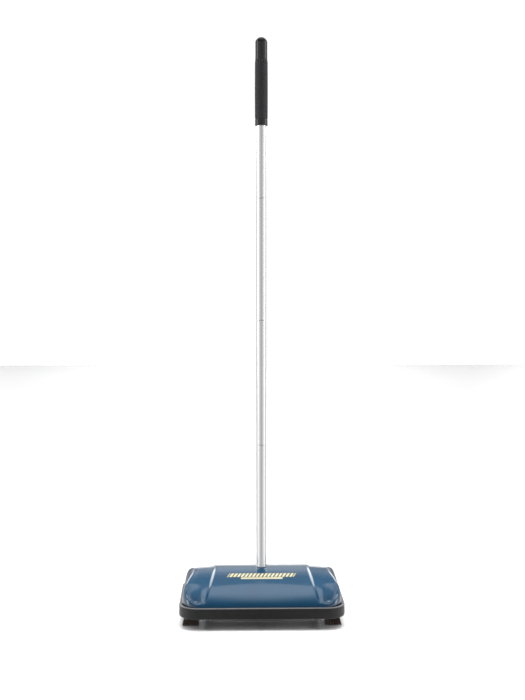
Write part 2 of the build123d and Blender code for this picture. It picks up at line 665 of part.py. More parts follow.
with BuildPart() as pivot_pin:
    with BuildSketch(pivot_plane.offset(-pin_half)):
        Circle(PIN_RADIUS)
    extrude(amount=2 * pin_half)
    chamfer(pivot_pin.edges().filter_by(GeomType.CIRCLE), length=0.5)
save(pivot_pin, "pivot_pin")

with BuildPart() as pivot_clips:
    for side in (-1, 1):
        with BuildSketch(pivot_plane.offset(side * (BRACKET_EAR_X + BRACKET_THICKNESS))):
            Circle(PIN_RADIUS + 2.5)
            Circle(PIN_RADIUS, mode=Mode.SUBTRACT)
            with Locations((0, -PIN_RADIUS - 1.5)):
                Rectangle(2 * PIN_RADIUS - 1.5, 5, mode=Mode.SUBTRACT)
        extrude(amount=side * 1)
save(pivot_clips, "pivot_clips")

with BuildPart() as friction_washers:
    for side in (-1, 1):
        with BuildSketch(pivot_plane.offset(side * (SOCKET_HALF_WIDTH + TREAD_GAP))):
            Circle(SOCKET_EYE_RADIUS - 0.5)
            Circle(PIN_RADIUS, mode=Mode.SUBTRACT)
        extrude(amount=side * (BRACKET_EAR_X - SOCKET_HALF_WIDTH - TREAD_GAP))
save(friction_washers, "friction_washers")

# Handle

tube_bore = TUBE_RADIUS - TUBE_WALL
SPIGOT_TOP = 126.0

with BuildPart() as handle_socket:
    with BuildSketch(pivot_plane.offset(-SOCKET_HALF_WIDTH)):
        Circle(SOCKET_EYE_RADIUS)
    extrude(amount=2 * SOCKET_HALF_WIDTH)
    with BuildSketch(Plane.XY.offset(PIVOT_Z)):
        Circle(SOCKET_EYE_RADIUS)
    extrude(amount=TUBE_START_Z - PIVOT_Z)
    with BuildSketch(Plane.XY.offset(TUBE_START_Z - 1)):
        Circle(tube_bore)
    extrude(amount=SPIGOT_TOP - TUBE_START_Z + 1)
    chamfer(handle_socket.faces().sort_by(Axis.Z)[-1].edges(), length=1.5)
    with BuildSketch(pivot_plane.offset(-SOCKET_HALF_WIDTH)):
        Circle(PIN_RADIUS + RUNNING)
    extrude(amount=2 * SOCKET_HALF_WIDTH, mode=Mode.SUBTRACT)
save(handle_socket, "handle_socket")

tube_starts = [TUBE_START_Z] + [z + TUBE_SEAM for z in TUBE_JOINTS]
tube_ends = TUBE_JOINTS + [TUBE_END_Z]
for number, (low, high) in enumerate(zip(tube_starts, tube_ends), start=1):
    with BuildPart() as tube:
        with BuildSketch(Plane.XY.offset(low)):
            Circle(TUBE_RADIUS)
            Circle(tube_bore, mode=Mode.SUBTRACT)
        extrude(amount=high - low)
    save(tube, f"handle_tube_{number}")

for number, joint_z in enumerate(TUBE_JOINTS, start=1):
    with BuildPart() as insert:
        with BuildSketch(Plane.XY.offset(joint_z - INSERT_HALF_LENGTH)):
            Circle(tube_bore)
            Circle(tube_bore - INSERT_WALL, mode=Mode.SUBTRACT)
        extrude(amount=2 * INSERT_HALF_LENGTH)
    save(insert, f"handle_insert_{number}")

with BuildPart() as grip_foam:
    with BuildSketch(Plane.XZ):
        with BuildLine():
            Polyline((FOAM_RADIUS, COLLAR_TOP), (TUBE_RADIUS, COLLAR_TOP), (TUBE_RADIUS, FOAM_TOP))
            Line((TUBE_RADIUS, FOAM_TOP), (FOAM_RADIUS, FOAM_TOP))
            ThreePointArc(
                (FOAM_RADIUS, FOAM_TOP),
                (FOAM_RADIUS + FOAM_BULGE, (FOAM_TOP + COLLAR_TOP) / 2),
                (FOAM_RADIUS, COLLAR_TOP),
            )
        make_face()
    revolve(axis=Axis.Z)
save(grip_foam, "grip_foam")

with BuildPart() as grip_collar:
    with BuildSketch(Plane.XY.offset(GRIP_BOTTOM)):
        Circle(COLLAR_RADIUS)
    extrude(amount=COLLAR_TOP - GRIP_BOTTOM)
    fillet(grip_collar.faces().sort_by(Axis.Z)[0].edges(), radius=1.2)
    fillet(grip_collar.faces().sort_by(Axis.Z)[-1].edges(), radius=0.4)
    with BuildSketch(Plane.XY.offset(GRIP_BOTTOM)):
        Circle(TUBE_RADIUS)
    extrude(amount=COLLAR_TOP - GRIP_BOTTOM, mode=Mode.SUBTRACT)
save(grip_collar, "grip_collar")

with BuildPart() as grip_cap:
    with BuildSketch(Plane.XZ):
        with BuildLine():
            Polyline(
                (0, GRIP_TOP),
                (0, TUBE_END_Z),
                (TUBE_RADIUS, TUBE_END_Z),
                (TUBE_RADIUS, FOAM_TOP),
                (CAP_RADIUS, FOAM_TOP),
                (CAP_RADIUS, GRIP_TOP - CAP_DOME_HEIGHT),
            )
            Spline(
                (CAP_RADIUS, GRIP_TOP - CAP_DOME_HEIGHT),
                (CAP_RADIUS * 0.72, GRIP_TOP - CAP_DOME_HEIGHT * 0.28),
                (0, GRIP_TOP),
                tangents=[(0, 1), (-1, 0)],
            )
        make_face()
    revolve(axis=Axis.Z)
save(grip_cap, "grip_cap")
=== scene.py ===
"""Looks for the carpet sweeper: finishes for its working parts and detailed shells, tubes and brushes.

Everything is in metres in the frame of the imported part: +Z up, -Y towards the front, origin on the floor.
"""
import json
import logging
import math
import random
from dataclasses import dataclass, field
from enum import Enum
from typing import Callable, Iterable, Optional, Sequence

import bpy
from mathutils import Matrix, Vector


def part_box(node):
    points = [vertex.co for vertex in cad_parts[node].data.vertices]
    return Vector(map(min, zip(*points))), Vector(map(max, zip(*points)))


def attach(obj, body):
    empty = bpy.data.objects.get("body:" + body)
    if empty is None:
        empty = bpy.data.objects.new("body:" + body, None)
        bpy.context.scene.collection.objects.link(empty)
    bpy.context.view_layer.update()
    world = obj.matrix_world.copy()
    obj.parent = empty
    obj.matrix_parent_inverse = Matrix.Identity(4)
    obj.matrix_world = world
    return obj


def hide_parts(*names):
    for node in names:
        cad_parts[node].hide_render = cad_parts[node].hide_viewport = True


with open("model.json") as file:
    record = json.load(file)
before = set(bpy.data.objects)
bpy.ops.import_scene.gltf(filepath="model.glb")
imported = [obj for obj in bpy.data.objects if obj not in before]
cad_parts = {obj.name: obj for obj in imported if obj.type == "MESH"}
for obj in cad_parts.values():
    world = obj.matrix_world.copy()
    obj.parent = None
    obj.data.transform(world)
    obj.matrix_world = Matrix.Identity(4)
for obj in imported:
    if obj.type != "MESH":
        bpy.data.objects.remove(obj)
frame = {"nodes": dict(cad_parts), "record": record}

LOG = logging.getLogger("sweeper")
MM = 0.001
Point = tuple[float, float]
Colour = tuple[float, float, float]
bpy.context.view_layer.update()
BRIGHTEST = 4.0
FLAT = 0.9
FIRST_SEED = 11


class Axis(Enum):
    """A direction that a turned piece can have."""

    UP = "Z"
    ACROSS = "X"


def smooth_step(low: float, high: float, value: float) -> float:
    """Ease from 0 at low to 1 at high.

    Args:
        low: Where the step starts.
        high: Where the step ends.
        value: The place to read it at.

    Returns:
        A number from 0 to 1.
    """
    share = min(1.0, max(0.0, (value - low) / (high - low)))
    return share * share * (3.0 - 2.0 * share)


def smooth_min(first: float, second: float, width: float) -> float:
    """Lower of two heights, rounded over a width where they meet.

    Args:
        first: One height.
        second: The other height.
        width: How far apart the heights are when the rounding starts.

    Returns:
        The rounded minimum.
    """
    share = max(0.0, width - abs(first - second)) / width
    return min(first, second) - share * share * width / 4.0


def shade(colour: Colour, factor: float) -> Colour:
    """A colour made darker or lighter by a factor."""
    return tuple(factor * channel for channel in colour)


# ---- Shader maths ----


class NodeMaker:
    """A node tree under construction."""

    def __init__(self, tree: bpy.types.NodeTree) -> None:
        """Start with an empty tree.

        Args:
            tree: The tree; the nodes that it has are removed.
        """
        self.tree = tree
        tree.nodes.clear()

    def node(
        self, kind: str, settings: Optional[dict] = None, sockets: Optional[dict] = None
    ) -> bpy.types.Node:
        """Add a node.

        Args:
            kind: The node's type name.
            settings: Properties set first; "stops" fills a colour ramp with (place, colour) pairs.
            sockets: Input name or number to a value or an output socket.

        Returns:
            The new node.
        """
        made = self.tree.nodes.new(kind)
        for key, value in (settings or {}).items():
            if key == "stops":
                ramp = made.color_ramp
                for place, colour in value[1:-1]:
                    ramp.elements.new(place).color = (*colour, 1.0)
                ramp.elements[0].position, ramp.elements[0].color = value[0][0], (*value[0][1], 1.0)
                ramp.elements[-1].position, ramp.elements[-1].color = value[-1][0], (*value[-1][1], 1.0)
            else:
                setattr(made, key, value)
        for key, value in (sockets or {}).items():
            self.feed(made.inputs[key], value)
        return made

    def feed(self, target: bpy.types.NodeSocket, value: object) -> None:
        """Link or set one input.

        Args:
            target: The input socket.
            value: A Sum, an output socket, a colour or a number.
        """
        if isinstance(value, Sum):
            value = value.socket
        if isinstance(value, bpy.types.NodeSocket):
            self.tree.links.new(value, target)
        elif isinstance(value, (tuple, list)) and len(value) == 3 and target.type == "RGBA":
            target.default_value = (*value, 1.0)
        else:
            target.default_value = value

    def split(self, vector: bpy.types.NodeSocket) -> tuple["Sum", "Sum", "Sum"]:
        """A vector's three numbers."""
        parts = self.node("ShaderNodeSeparateXYZ", {}, {0: vector})
        return tuple(Sum(self, part) for part in parts.outputs)

    def ramp(self, angle: "Sum", levels: Sequence[Point]) -> "Sum":
        """A light level that changes with an angle.

        Args:
            angle: The angle in radians, 0 to pi.
            levels: Pairs of an angle in degrees and the level there, at most BRIGHTEST.

        Returns:
            The level.
        """
        stops = [(degrees / 180.0, (level / BRIGHTEST,) * 3) for degrees, level in levels]
        share = (angle * (1.0 / math.pi)).apply("MAXIMUM", 0.0)
        return Sum(self, self.node("ShaderNodeValToRGB", {"stops": stops}, {0: share}).outputs[0]) * BRIGHTEST


class Shader(NodeMaker):
    """A material under construction: one Principled surface and the nodes that feed it."""

    def __init__(self, name: str) -> None:
        """Start an empty material.

        Args:
            name: The material's name.
        """
        self.material = bpy.data.materials.new(name)
        self.material.use_nodes = True
        super().__init__(self.material.node_tree)
        self.surface = self.node("ShaderNodeBsdfPrincipled")
        self.output = self.node("ShaderNodeOutputMaterial")
        self.tree.links.new(self.surface.outputs[0], self.output.inputs[0])
        self.coordinates = self.node("ShaderNodeTexCoord").outputs["Object"]

    def place(self) -> tuple["Sum", "Sum", "Sum"]:
        """Object coordinates as three numbers."""
        return self.split(self.coordinates)

    def noise(self, size: float, detail: float = 3.0, stretch: Sequence[float] = (1.0, 1.0, 1.0)) -> "Sum":
        """Cloudy noise.

        Args:
            size: Rough size of a blotch, in metres.
            detail: Octaves of finer noise.
            stretch: Factors on the three coordinates; a small one draws the noise out that way.

        Returns:
            The noise, about 0 to 1.
        """
        mapping = self.node("ShaderNodeMapping", {}, {"Vector": self.coordinates, "Scale": tuple(stretch)})
        sockets = {"Vector": mapping.outputs[0], "Scale": 1.0 / size, "Detail": detail}
        return Sum(self, self.node("ShaderNodeTexNoise", {}, sockets).outputs["Fac"])

    def cells(self, size: float, feature: str = "F1") -> "Sum":
        """Distances in a cell pattern.

        Args:
            size: Size of a cell, in metres.
            feature: Which distance is read.

        Returns:
            The distance, about 0 to 1.
        """
        sockets = {"Vector": self.coordinates, "Scale": 1.0 / size}
        return Sum(self, self.node("ShaderNodeTexVoronoi", {"feature": feature}, sockets).outputs["Distance"])

    def mix(self, share: object, first: object, second: object) -> bpy.types.NodeSocket:
        """Blend two colours.

        Args:
            share: How much of the second colour shows.
            first: The colour at 0.
            second: The colour at 1.

        Returns:
            The blended colour's socket.
        """
        made = self.node("ShaderNodeMix", {"data_type": "RGBA"}, {0: share, 6: first, 7: second})
        return made.outputs[2]

    def bump(self, height: object, distance: float, strength: float = 1.0) -> None:
        """Feed the surface's normal from a height.

        Args:
            height: The height, 0 to 1.
            distance: What a height of 1 is, in metres.
            strength: How much of it shows.
        """
        sockets = {"Height": height, "Distance": distance, "Strength": strength}
        self.feed(self.surface.inputs["Normal"], self.node("ShaderNodeBump", {}, sockets).outputs[0])

    def dress(self, **values: object) -> bpy.types.Material:
        """Set the surface's inputs by name, with underscores for spaces.

        Args:
            **values: Input names and what feeds them.

        Returns:
            The finished material.
        """
        for key, value in values.items():
            self.feed(self.surface.inputs[key.replace("_", " ")], value)
        return self.material


class Sum:
    """A number socket that Python expressions can work on."""

    def __init__(self, maker: NodeMaker, socket: bpy.types.NodeSocket) -> None:
        """Wrap a socket.

        Args:
            maker: The tree that the socket is in.
            socket: The output that gives the number.
        """
        self.maker = maker
        self.socket = socket

    def apply(self, operation: str, *others: object) -> "Sum":
        """Add a Math node with this number first."""
        sockets = dict(enumerate((self, *others)))
        made = self.maker.node("ShaderNodeMath", {"operation": operation}, sockets)
        return Sum(self.maker, made.outputs[0])

    def __add__(self, other: object) -> "Sum":
        """Add."""
        return self.apply("ADD", other)

    def __sub__(self, other: object) -> "Sum":
        """Subtract."""
        return self.apply("SUBTRACT", other)

    def __rsub__(self, other: object) -> "Sum":
        """Subtract from a plain number."""
        made = self.maker.node("ShaderNodeMath", {"operation": "SUBTRACT"}, {0: other, 1: self})
        return Sum(self.maker, made.outputs[0])

    def __mul__(self, other: object) -> "Sum":
        """Multiply."""
        return self.apply("MULTIPLY", other)

    def __truediv__(self, other: object) -> "Sum":
        """Divide."""
        return self.apply("DIVIDE", other)

    def size(self) -> "Sum":
        """The number without its sign."""
        return self.apply("ABSOLUTE")

    def step(self, low: float, high: float) -> "Sum":
        """Ease from 0 at low to 1 at high."""
        settings = {"interpolation_type": "SMOOTHSTEP"}
        sockets = {"Value": self, "From Min": low, "From Max": high}
        if low > high:
            sockets = {"Value": self, "From Min": high, "From Max": low, "To Min": 1.0, "To Max": 0.0}
        return Sum(self.maker, self.maker.node("ShaderNodeMapRange", settings, sockets).outputs[0])

    def band(self, centre: float, half: float, soft: float) -> "Sum":
        """1 within half of a centre, fading out over soft."""
        return (self - centre).size().step(half + soft, half)


# ---- Finishes ----


@dataclass(frozen=True)
class Finish:
    """A material of the part, named by its slot in the record."""

    slot: str
    colour: Colour

    def build(self) -> bpy.types.Material:
        """Make the material."""
        raise NotImplementedError


@dataclass(frozen=True)
class Enamel(Finish):
    """Gloss stoving enamel on pressed steel, with a plain cream flash on the centre panel and painted shade
    that darkens it towards the bottom.
    """

    flash: Colour = (0.50, 0.475, 0.34)
    flash_edge: Colour = (0.13, 0.115, 0.03)
    dash_pitch: float = 7.1 * MM
    dash_half: float = 1.9 * MM
    dash_slant: float = 0.5
    row_centre_y: float = -38.0 * MM
    row_half_depth: float = 4.9 * MM
    row_half_width: float = 63.0 * MM
    line_centre_y: float = -46.6 * MM
    line_half_depth: float = 1.6 * MM
    line_half_width: float = 39.0 * MM
    flash_blur: float = 0.35 * MM
    flash_outline: float = 0.9 * MM
    flash_heights: Point = (60.0 * MM, 62.0 * MM)
    # Heights over which painted shade darkens the enamel towards the bottom.
    painted_shade_heights: Point = (66.0 * MM, 43.0 * MM)
    dust_heights: Point = (60.0 * MM, 42.0 * MM)
    dust_colour: Colour = (0.35, 0.36, 0.36)
    peel_size: float = 4.5 * MM
    peel_depth: float = 0.02 * MM

    def flash_mask(self, shader: Shader, grow: float) -> Sum:
        """Where the cream flash is.

        Args:
            shader: The enamel's material.
            grow: How much larger than the flash itself, in metres.

        Returns:
            A mask, 1 inside the flash.
        """
        x, y, z = shader.place()
        soft = self.flash_blur
        lean = x - (y - self.row_centre_y) * self.dash_slant
        cell = (lean / self.dash_pitch + 0.5).apply("FRACT") - 0.5
        dashes = (cell * self.dash_pitch).size().step(self.dash_half + grow + soft, self.dash_half + grow)
        row = y.band(self.row_centre_y, self.row_half_depth + grow, soft)
        row = row * lean.band(0.0, self.row_half_width + grow, soft) * dashes
        line = y.band(self.line_centre_y, self.line_half_depth + grow, soft)
        line = line * x.band(0.0, self.line_half_width + grow, soft)
        return row.apply("MAXIMUM", line) * z.step(*self.flash_heights)

    def build(self) -> bpy.types.Material:
        """Make the enamel."""
        shader = Shader(self.slot)
        _, _, height = shader.place()
        paint = shader.mix(shader.noise(60 * MM, 2.0), shade(self.colour, 0.72), self.colour)
        # Painted shade: the enamel is darkened towards the bottom, from 66 mm down to 43 mm, standing in for
        # the shade on the lower slopes.
        paint = shader.mix(height.step(*self.painted_shade_heights) * 0.6, paint, shade(self.colour, 0.35))
        paint = shader.mix(self.flash_mask(shader, self.flash_outline), paint, self.flash_edge)
        paint = shader.mix(self.flash_mask(shader, 0.0), paint, self.flash)
        dust = shader.noise(1.1 * MM, 4.0).step(0.66, 0.8) * height.step(*self.dust_heights)
        paint = shader.mix(dust * 0.18, paint, self.dust_colour)
        shader.bump(shader.noise(self.peel_size, 2.0), self.peel_depth, 0.35)
        return shader.dress(
            Base_Color=paint,
            Roughness=shader.noise(25 * MM, 3.0) * 0.06 + 0.2 + dust * 0.3,
            Coat_Weight=1.0,
            Coat_Roughness=0.06,
            Coat_IOR=1.5,
            IOR=1.5,
        )


@dataclass(frozen=True)
class Rubber(Finish):
    """Moulded rubber with a fine grain, scuffs, specks of dust and a painted highlight along the top ledge.
    """

    roughness: float = 0.5
    grain: float = 0.7 * MM
    grain_depth: float = 0.05 * MM
    dust: float = 0.12
    shine: float = 0.5
    # Height above which the top ledge is painted lighter, as a painted highlight.
    highlight_above: float = 1.0
    ledge_fade: float = 0.6 * MM
    ledge_highlight: Colour = (0.13, 0.131, 0.137)

    def build(self) -> bpy.types.Material:
        """Make the rubber."""
        shader = Shader(self.slot)
        grain = shader.noise(self.grain, 5.0)
        patches = shader.noise(22 * MM, 3.0)
        scuff = shader.noise(3.5 * MM, 4.0, (0.25, 0.25, 1.6)).step(0.62, 0.75)
        colour = shader.mix(patches, shade(self.colour, 0.75), self.colour)
        colour = shader.mix(scuff * self.dust, colour, (0.2, 0.2, 0.2))
        speck = shader.noise(0.9 * MM, 2.0).step(0.7, 0.78)
        colour = shader.mix(speck * self.dust * 0.7, colour, (0.3, 0.29, 0.28))
        # Painted highlight: the top ledge is painted a lighter grey, standing in for the light that its
        # rounded edge catches.
        painted_highlight = shader.place()[2].step(self.highlight_above, self.highlight_above + self.ledge_fade)
        painted_highlight = painted_highlight * (shader.noise(4 * MM, 4.0) * 0.4 + 0.6)
        colour = shader.mix(painted_highlight, colour, self.ledge_highlight)
        shader.bump(grain + scuff * 0.15, self.grain_depth, 0.8)
        return shader.dress(
            Base_Color=colour,
            Roughness=patches * 0.14 + scuff * 0.1 + (self.roughness - 0.07),
            Specular_IOR_Level=self.shine,
        )


@dataclass(frozen=True)
class Foam(Finish):
    """Closed-cell foam rubber: tiny pits all over, painted darker as painted shade, and a soft sheen."""

    pit: float = 0.85 * MM

    def build(self) -> bpy.types.Material:
        """Make the foam."""
        shader = Shader(self.slot)
        pits = shader.cells(self.pit).step(0.12, 0.5)
        soft = shader.noise(9 * MM, 3.0)
        # Painted shade: the foam is darkened in the pits, where shade falls.
        colour = shader.mix(pits, shade(self.colour, 0.45), self.colour)
        worn = shader.noise(30 * MM, 2.0, (1.0, 1.0, 0.5)).step(0.5, 0.75)
        colour = shader.mix(worn * 0.3, colour, shade(self.colour, 1.7))
        shader.bump(pits * 0.7 + soft * 0.3, 0.1 * MM, 0.55)
        return shader.dress(Base_Color=colour, Roughness=soft * 0.12 + 0.5, Specular_IOR_Level=0.4)


@dataclass(frozen=True)
class Plastic(Finish):
    """Moulded plastic, gloss or matt, with flow marks and fine handling marks."""

    roughness: float = 0.45
    coat: float = 0.0
    grain_depth: float = 0.02 * MM

    def build(self) -> bpy.types.Material:
        """Make the plastic."""
        shader = Shader(self.slot)
        flow = shader.noise(14 * MM, 3.0, (1.0, 1.0, 0.4))
        marks = shader.noise(1.6 * MM, 4.0, (1.0, 1.0, 0.12)).step(0.63, 0.72)
        colour = shader.mix(flow, shade(self.colour, 0.8), self.colour)
        colour = shader.mix(marks * 0.08, colour, tuple(min(1.0, 2.5 * c + 0.03) for c in self.colour))
        shader.bump(shader.noise(0.6 * MM, 4.0), self.grain_depth, 0.5)
        return shader.dress(
            Base_Color=colour,
            Roughness=flow * 0.06 + marks * 0.12 + (self.roughness - 0.03),
            Coat_Weight=self.coat,
            Coat_Roughness=0.06,
        )


@dataclass(frozen=True)
class Metal(Finish):
    """Bare or plated metal with drawing lines along one way and faint stains."""

    roughness: float = 0.25
    lines: Sequence[float] = (1.0, 1.0, 0.02)
    line_size: float = 0.9 * MM
    line_depth: float = 0.0012 * MM
    stain: float = 0.12
    spangle: float = 0.0

    def build(self) -> bpy.types.Material:
        """Make the metal."""
        shader = Shader(self.slot)
        lines = shader.noise(self.line_size, 3.0, self.lines)
        cloud = shader.noise(35 * MM, 4.0)
        colour = shader.mix(cloud * self.stain, self.colour, shade(self.colour, 0.55))
        rough = lines * 0.08 + cloud * 0.08 + (self.roughness - 0.08)
        if self.spangle:
            crystals = shader.cells(7 * MM, "SMOOTH_F1")
            colour = shader.mix(crystals * self.spangle, colour, shade(self.colour, 0.62))
            rough = rough + crystals * 0.12
        shader.bump(lines, self.line_depth, 0.6)
        return shader.dress(Base_Color=colour, Roughness=rough, Metallic=1.0)


@dataclass(frozen=True)
class Bristle(Finish):
    """Stiff bristles, each strand a little different, with painted shade that darkens them towards the root.
    """

    tip: Colour
    root_heights: Point = (3.0 * MM, 15.0 * MM)

    def build(self) -> bpy.types.Material:
        """Make the bristle."""
        shader = Shader(self.slot)
        _, _, height = shader.place()
        strand = shader.noise(0.7 * MM, 2.0, (1.0, 1.0, 0.05))
        colour = shader.mix(strand.step(0.35, 0.65), self.colour, self.tip)
        # Painted shade: the strands are darkened towards their roots under the holder.
        colour = shader.mix(height.step(*self.root_heights) * 0.55, colour, shade(self.colour, 0.4))
        shader.bump(shader.noise(0.4 * MM, 3.0, (1.0, 1.0, 0.2)), 0.03 * MM, 0.6)
        return shader.dress(Base_Color=colour, Roughness=strand * 0.2 + 0.42)


FINISHES: tuple[Finish, ...] = (
    Enamel("cover_paint", (0.0014, 0.05, 0.112)),
    Rubber(
        "bumper_rubber",
        (0.0055, 0.0055, 0.006),
        roughness=0.3,
        shine=0.42,
        dust=0.05,
        grain_depth=0.012 * MM,
        # Painted highlight along the bumper's top ledge, above 40.7 mm.
        highlight_above=40.7 * MM,
    ),
    Bristle("bristle", (0.026, 0.015, 0.011), tip=(0.085, 0.05, 0.038)),
    Plastic("holder_plastic", (0.022, 0.021, 0.021), roughness=0.5),
    Metal("handle_tube", (0.84, 0.84, 0.845), roughness=0.22, stain=0.05),
    Plastic("handle_fitting", (0.03, 0.03, 0.032), roughness=0.42),
    Foam("grip_foam", (0.014, 0.014, 0.0155)),
    Plastic("grip_gloss", (0.008, 0.008, 0.009), roughness=0.14, grain_depth=0.003 * MM),
    Plastic("hub_plastic", (0.11, 0.11, 0.115), roughness=0.5),
    Rubber("wheel_tyre", (0.024, 0.024, 0.024), roughness=0.62, dust=0.3),
    Rubber("blade_rubber", (0.05, 0.045, 0.04), roughness=0.58, dust=0.25),
    Plastic("drum_plastic", (0.12, 0.12, 0.12), roughness=0.52),
    Metal("rotor_metal", (0.62, 0.63, 0.64), roughness=0.32, lines=(0.02, 1.0, 1.0), stain=0.2),
    Metal("bearing_bronze", (0.42, 0.25, 0.10), roughness=0.38, stain=0.4),
    Enamel("pan_steel", (0.02, 0.02, 0.022)),
    Metal("spring_steel", (0.44, 0.44, 0.45), roughness=0.28, stain=0.25),
    Plastic("washer_plastic", (0.72, 0.70, 0.62), roughness=0.4),
    Metal("frame_steel", (0.62, 0.64, 0.66), roughness=0.36, stain=0.25, spangle=0.8),
    Metal("pin_steel", (0.56, 0.56, 0.57), roughness=0.24, lines=(1.0, 0.03, 0.03), stain=0.2),
)


class Paintbox:
    """Every finish of the part, made once and handed out by slot."""

    def __init__(self, finishes: Iterable[Finish]) -> None:
        """Make the materials.

        Args:
            finishes: The finishes of all slots.
        """
        self.materials = {finish.slot: finish.build() for finish in finishes}

    def paint(self, obj: bpy.types.Object, slot: str) -> None:
        """Give an object one finish, which replaces any it has.

        Args:
            obj: The piece or CAD node.
            slot: The record's slot.
        """
        obj.data.materials.clear()
        obj.data.materials.append(self.materials[slot])


# ---- Modelling ----


class Bench:
    """Modelling steps that every sub-assembly shares."""

    def __init__(self, paints: Paintbox) -> None:
        """Set up the bench.

        Args:
            paints: The finishes to dress pieces with.
        """
        self.paints = paints

    @staticmethod
    def only(obj: Optional[bpy.types.Object] = None) -> None:
        """Select nothing but one object, and make it the active one."""
        bpy.context.view_layer.update()
        bpy.ops.object.select_all(action="DESELECT")
        if obj is not None:
            obj.select_set(True)
        bpy.context.view_layer.objects.active = obj

    @staticmethod
    def tool(obj: bpy.types.Object, action: Callable[[], object]) -> None:
        """Run an edit-mode action on a whole mesh.

        Args:
            obj: The object to edit.
            action: What to do while everything is selected.
        """
        Bench.only(obj)
        bpy.ops.object.mode_set(mode="EDIT")
        bpy.ops.mesh.select_all(action="SELECT")
        action()
        bpy.ops.object.mode_set(mode="OBJECT")

    @staticmethod
    def extrude(x: float, y: float, z: float) -> None:
        """Extrude the selection and move it."""
        bpy.ops.mesh.extrude_region_move(TRANSFORM_OT_translate={"value": (x, y, z)})

    @staticmethod
    def pick(obj: bpy.types.Object, kind: str, test: Callable[[object], bool]) -> None:
        """Select the edges or faces that pass a test, and stay in edit mode.

        Args:
            obj: The object to edit.
            kind: "EDGE" or "FACE".
            test: Says whether one of them is wanted.
        """
        Bench.only(obj)
        bpy.ops.object.mode_set(mode="EDIT")
        bpy.ops.mesh.select_mode(type=kind)
        bpy.ops.mesh.select_all(action="DESELECT")
        bpy.ops.object.mode_set(mode="OBJECT")
        for item in obj.data.edges if kind == "EDGE" else obj.data.polygons:
            item.select = test(item)
        bpy.ops.object.mode_set(mode="EDIT")

    @staticmethod
    def pick_level(obj: bpy.types.Object, test: Callable[[Vector], bool]) -> None:
        """Select the level faces whose middle passes a test, and stay in edit mode.

        Args:
            obj: The object to edit.
            test: Says whether a face with this middle is wanted.
        """
        Bench.pick(obj, "FACE", lambda face: test(face.center) and abs(face.normal.z) > FLAT)

    @staticmethod
    def modify(obj: bpy.types.Object, kind: str, **settings: object) -> None:
        """Add a modifier and apply it.

        Args:
            obj: The object.
            kind: The modifier's type.
            **settings: Its properties.
        """
        Bench.only(obj)
        modifier = obj.modifiers.new(kind.lower(), kind)
        for key, value in settings.items():
            setattr(modifier, key, value)
        bpy.ops.object.modifier_apply(modifier=modifier.name)

    @staticmethod
    def settle(obj: bpy.types.Object) -> None:
        """Put an object's place into its mesh, so that it sits at the origin, unturned and unscaled."""
        obj.data.transform(obj.matrix_basis)
        obj.matrix_basis = Matrix.Identity(4)

    @staticmethod
    def tidy(obj: bpy.types.Object, angle: float = 35.0) -> None:
        """Merge doubles, point the faces outwards and shade smooth between sharp edges.

        Args:
            obj: The object.
            angle: The smallest angle of an edge that stays sharp, in degrees.
        """

        def clean() -> None:
            """Merge and recalculate."""
            bpy.ops.mesh.remove_doubles(threshold=1e-6)
            bpy.ops.mesh.normals_make_consistent(inside=False)

        Bench.tool(obj, clean)
        bpy.ops.object.shade_smooth_by_angle(angle=math.radians(angle))

    def hand_over(self, obj: bpy.types.Object, name: str, body: str, slot: str, *nodes: str) -> None:
        """Name, paint and attach a finished piece.

        Args:
            obj: The piece.
            name: Its name in the model.
            body: The CAD body that it rides on.
            slot: The record's finish.
            *nodes: The CAD nodes that it stands for.
        """
        self.settle(obj)
        obj.name = name
        self.paints.paint(obj, slot)
        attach(obj, body)
        if nodes:
            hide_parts(*nodes)
        LOG.info("%s rides on %s, %d faces", name, body, len(obj.data.polygons))

    @staticmethod
    def rounded(corners: Sequence[tuple[float, float, float]], steps: int = 5) -> list[Point]:
        """Round the corners of an outline.

        Args:
            corners: Points in order with a radius each: (radius from the axis, height, corner radius).
            steps: Points on each rounded corner.

        Returns:
            The outline's points.
        """
        outline: list[Point] = []
        count = len(corners)
        for index, (across, along, radius) in enumerate(corners):
            here = Vector((across, along))
            if radius <= 0.0:
                outline.append((across, along))
                continue
            before = (Vector(corners[index - 1][:2]) - here).normalized()
            after = (Vector(corners[(index + 1) % count][:2]) - here).normalized()
            half = math.acos(max(-1.0, min(1.0, before.dot(after)))) / 2.0
            reach = radius / math.tan(half)
            centre = here + (before + after).normalized() * (radius / math.sin(half))
            start, end = here + before * reach - centre, here + after * reach - centre
            turn = start.angle_signed(end)
            for step in range(steps + 1):
                arm = start.copy()
                arm.rotate(Matrix.Rotation(-turn * step / steps, 2))
                outline.append(tuple(centre + arm))
        return outline

    def turned(
        self,
        outline: Sequence[Point],
        origin: Sequence[float],
        steps: int,
        axis: Axis = Axis.UP,
        loop: bool = True,
    ) -> bpy.types.Object:
        """Spin an outline round an axis.

        Args:
            outline: Points as (radius, height along the axis).
            origin: A point on the axis, where the height is 0.
            steps: Segments round the axis.
            axis: The way the axis points.
            loop: Whether the outline closes on itself; one that ends on the axis doesn't.

        Returns:
            The turned mesh, in place.
        """
        self.only()
        bpy.ops.mesh.primitive_circle_add(vertices=len(outline), radius=0.01, fill_type="NOTHING")
        obj = bpy.context.object
        for vertex, (radius, height) in zip(obj.data.vertices, outline):
            vertex.co = (radius, 0.0, height)
        if not loop:
            last = len(outline) - 1
            self.pick(obj, "EDGE", lambda edge: set(edge.vertices) == {0, last})
            bpy.ops.mesh.delete(type="EDGE")
            bpy.ops.object.mode_set(mode="OBJECT")

        def spin() -> None:
            """Turn the outline through a full circle about its own axis."""
            middle, up = (0, 0, 0), (0, 0, 1)
            bpy.ops.mesh.spin(steps=steps, angle=math.tau, use_auto_merge=True, center=middle, axis=up)

        self.tool(obj, spin)
        self.tidy(obj)
        if axis is Axis.ACROSS:
            obj.data.transform(Matrix.Rotation(math.pi / 2.0, 4, "Y"))
        obj.data.transform(Matrix.Translation(Vector(origin)))
        return obj


# ---- Cover ----


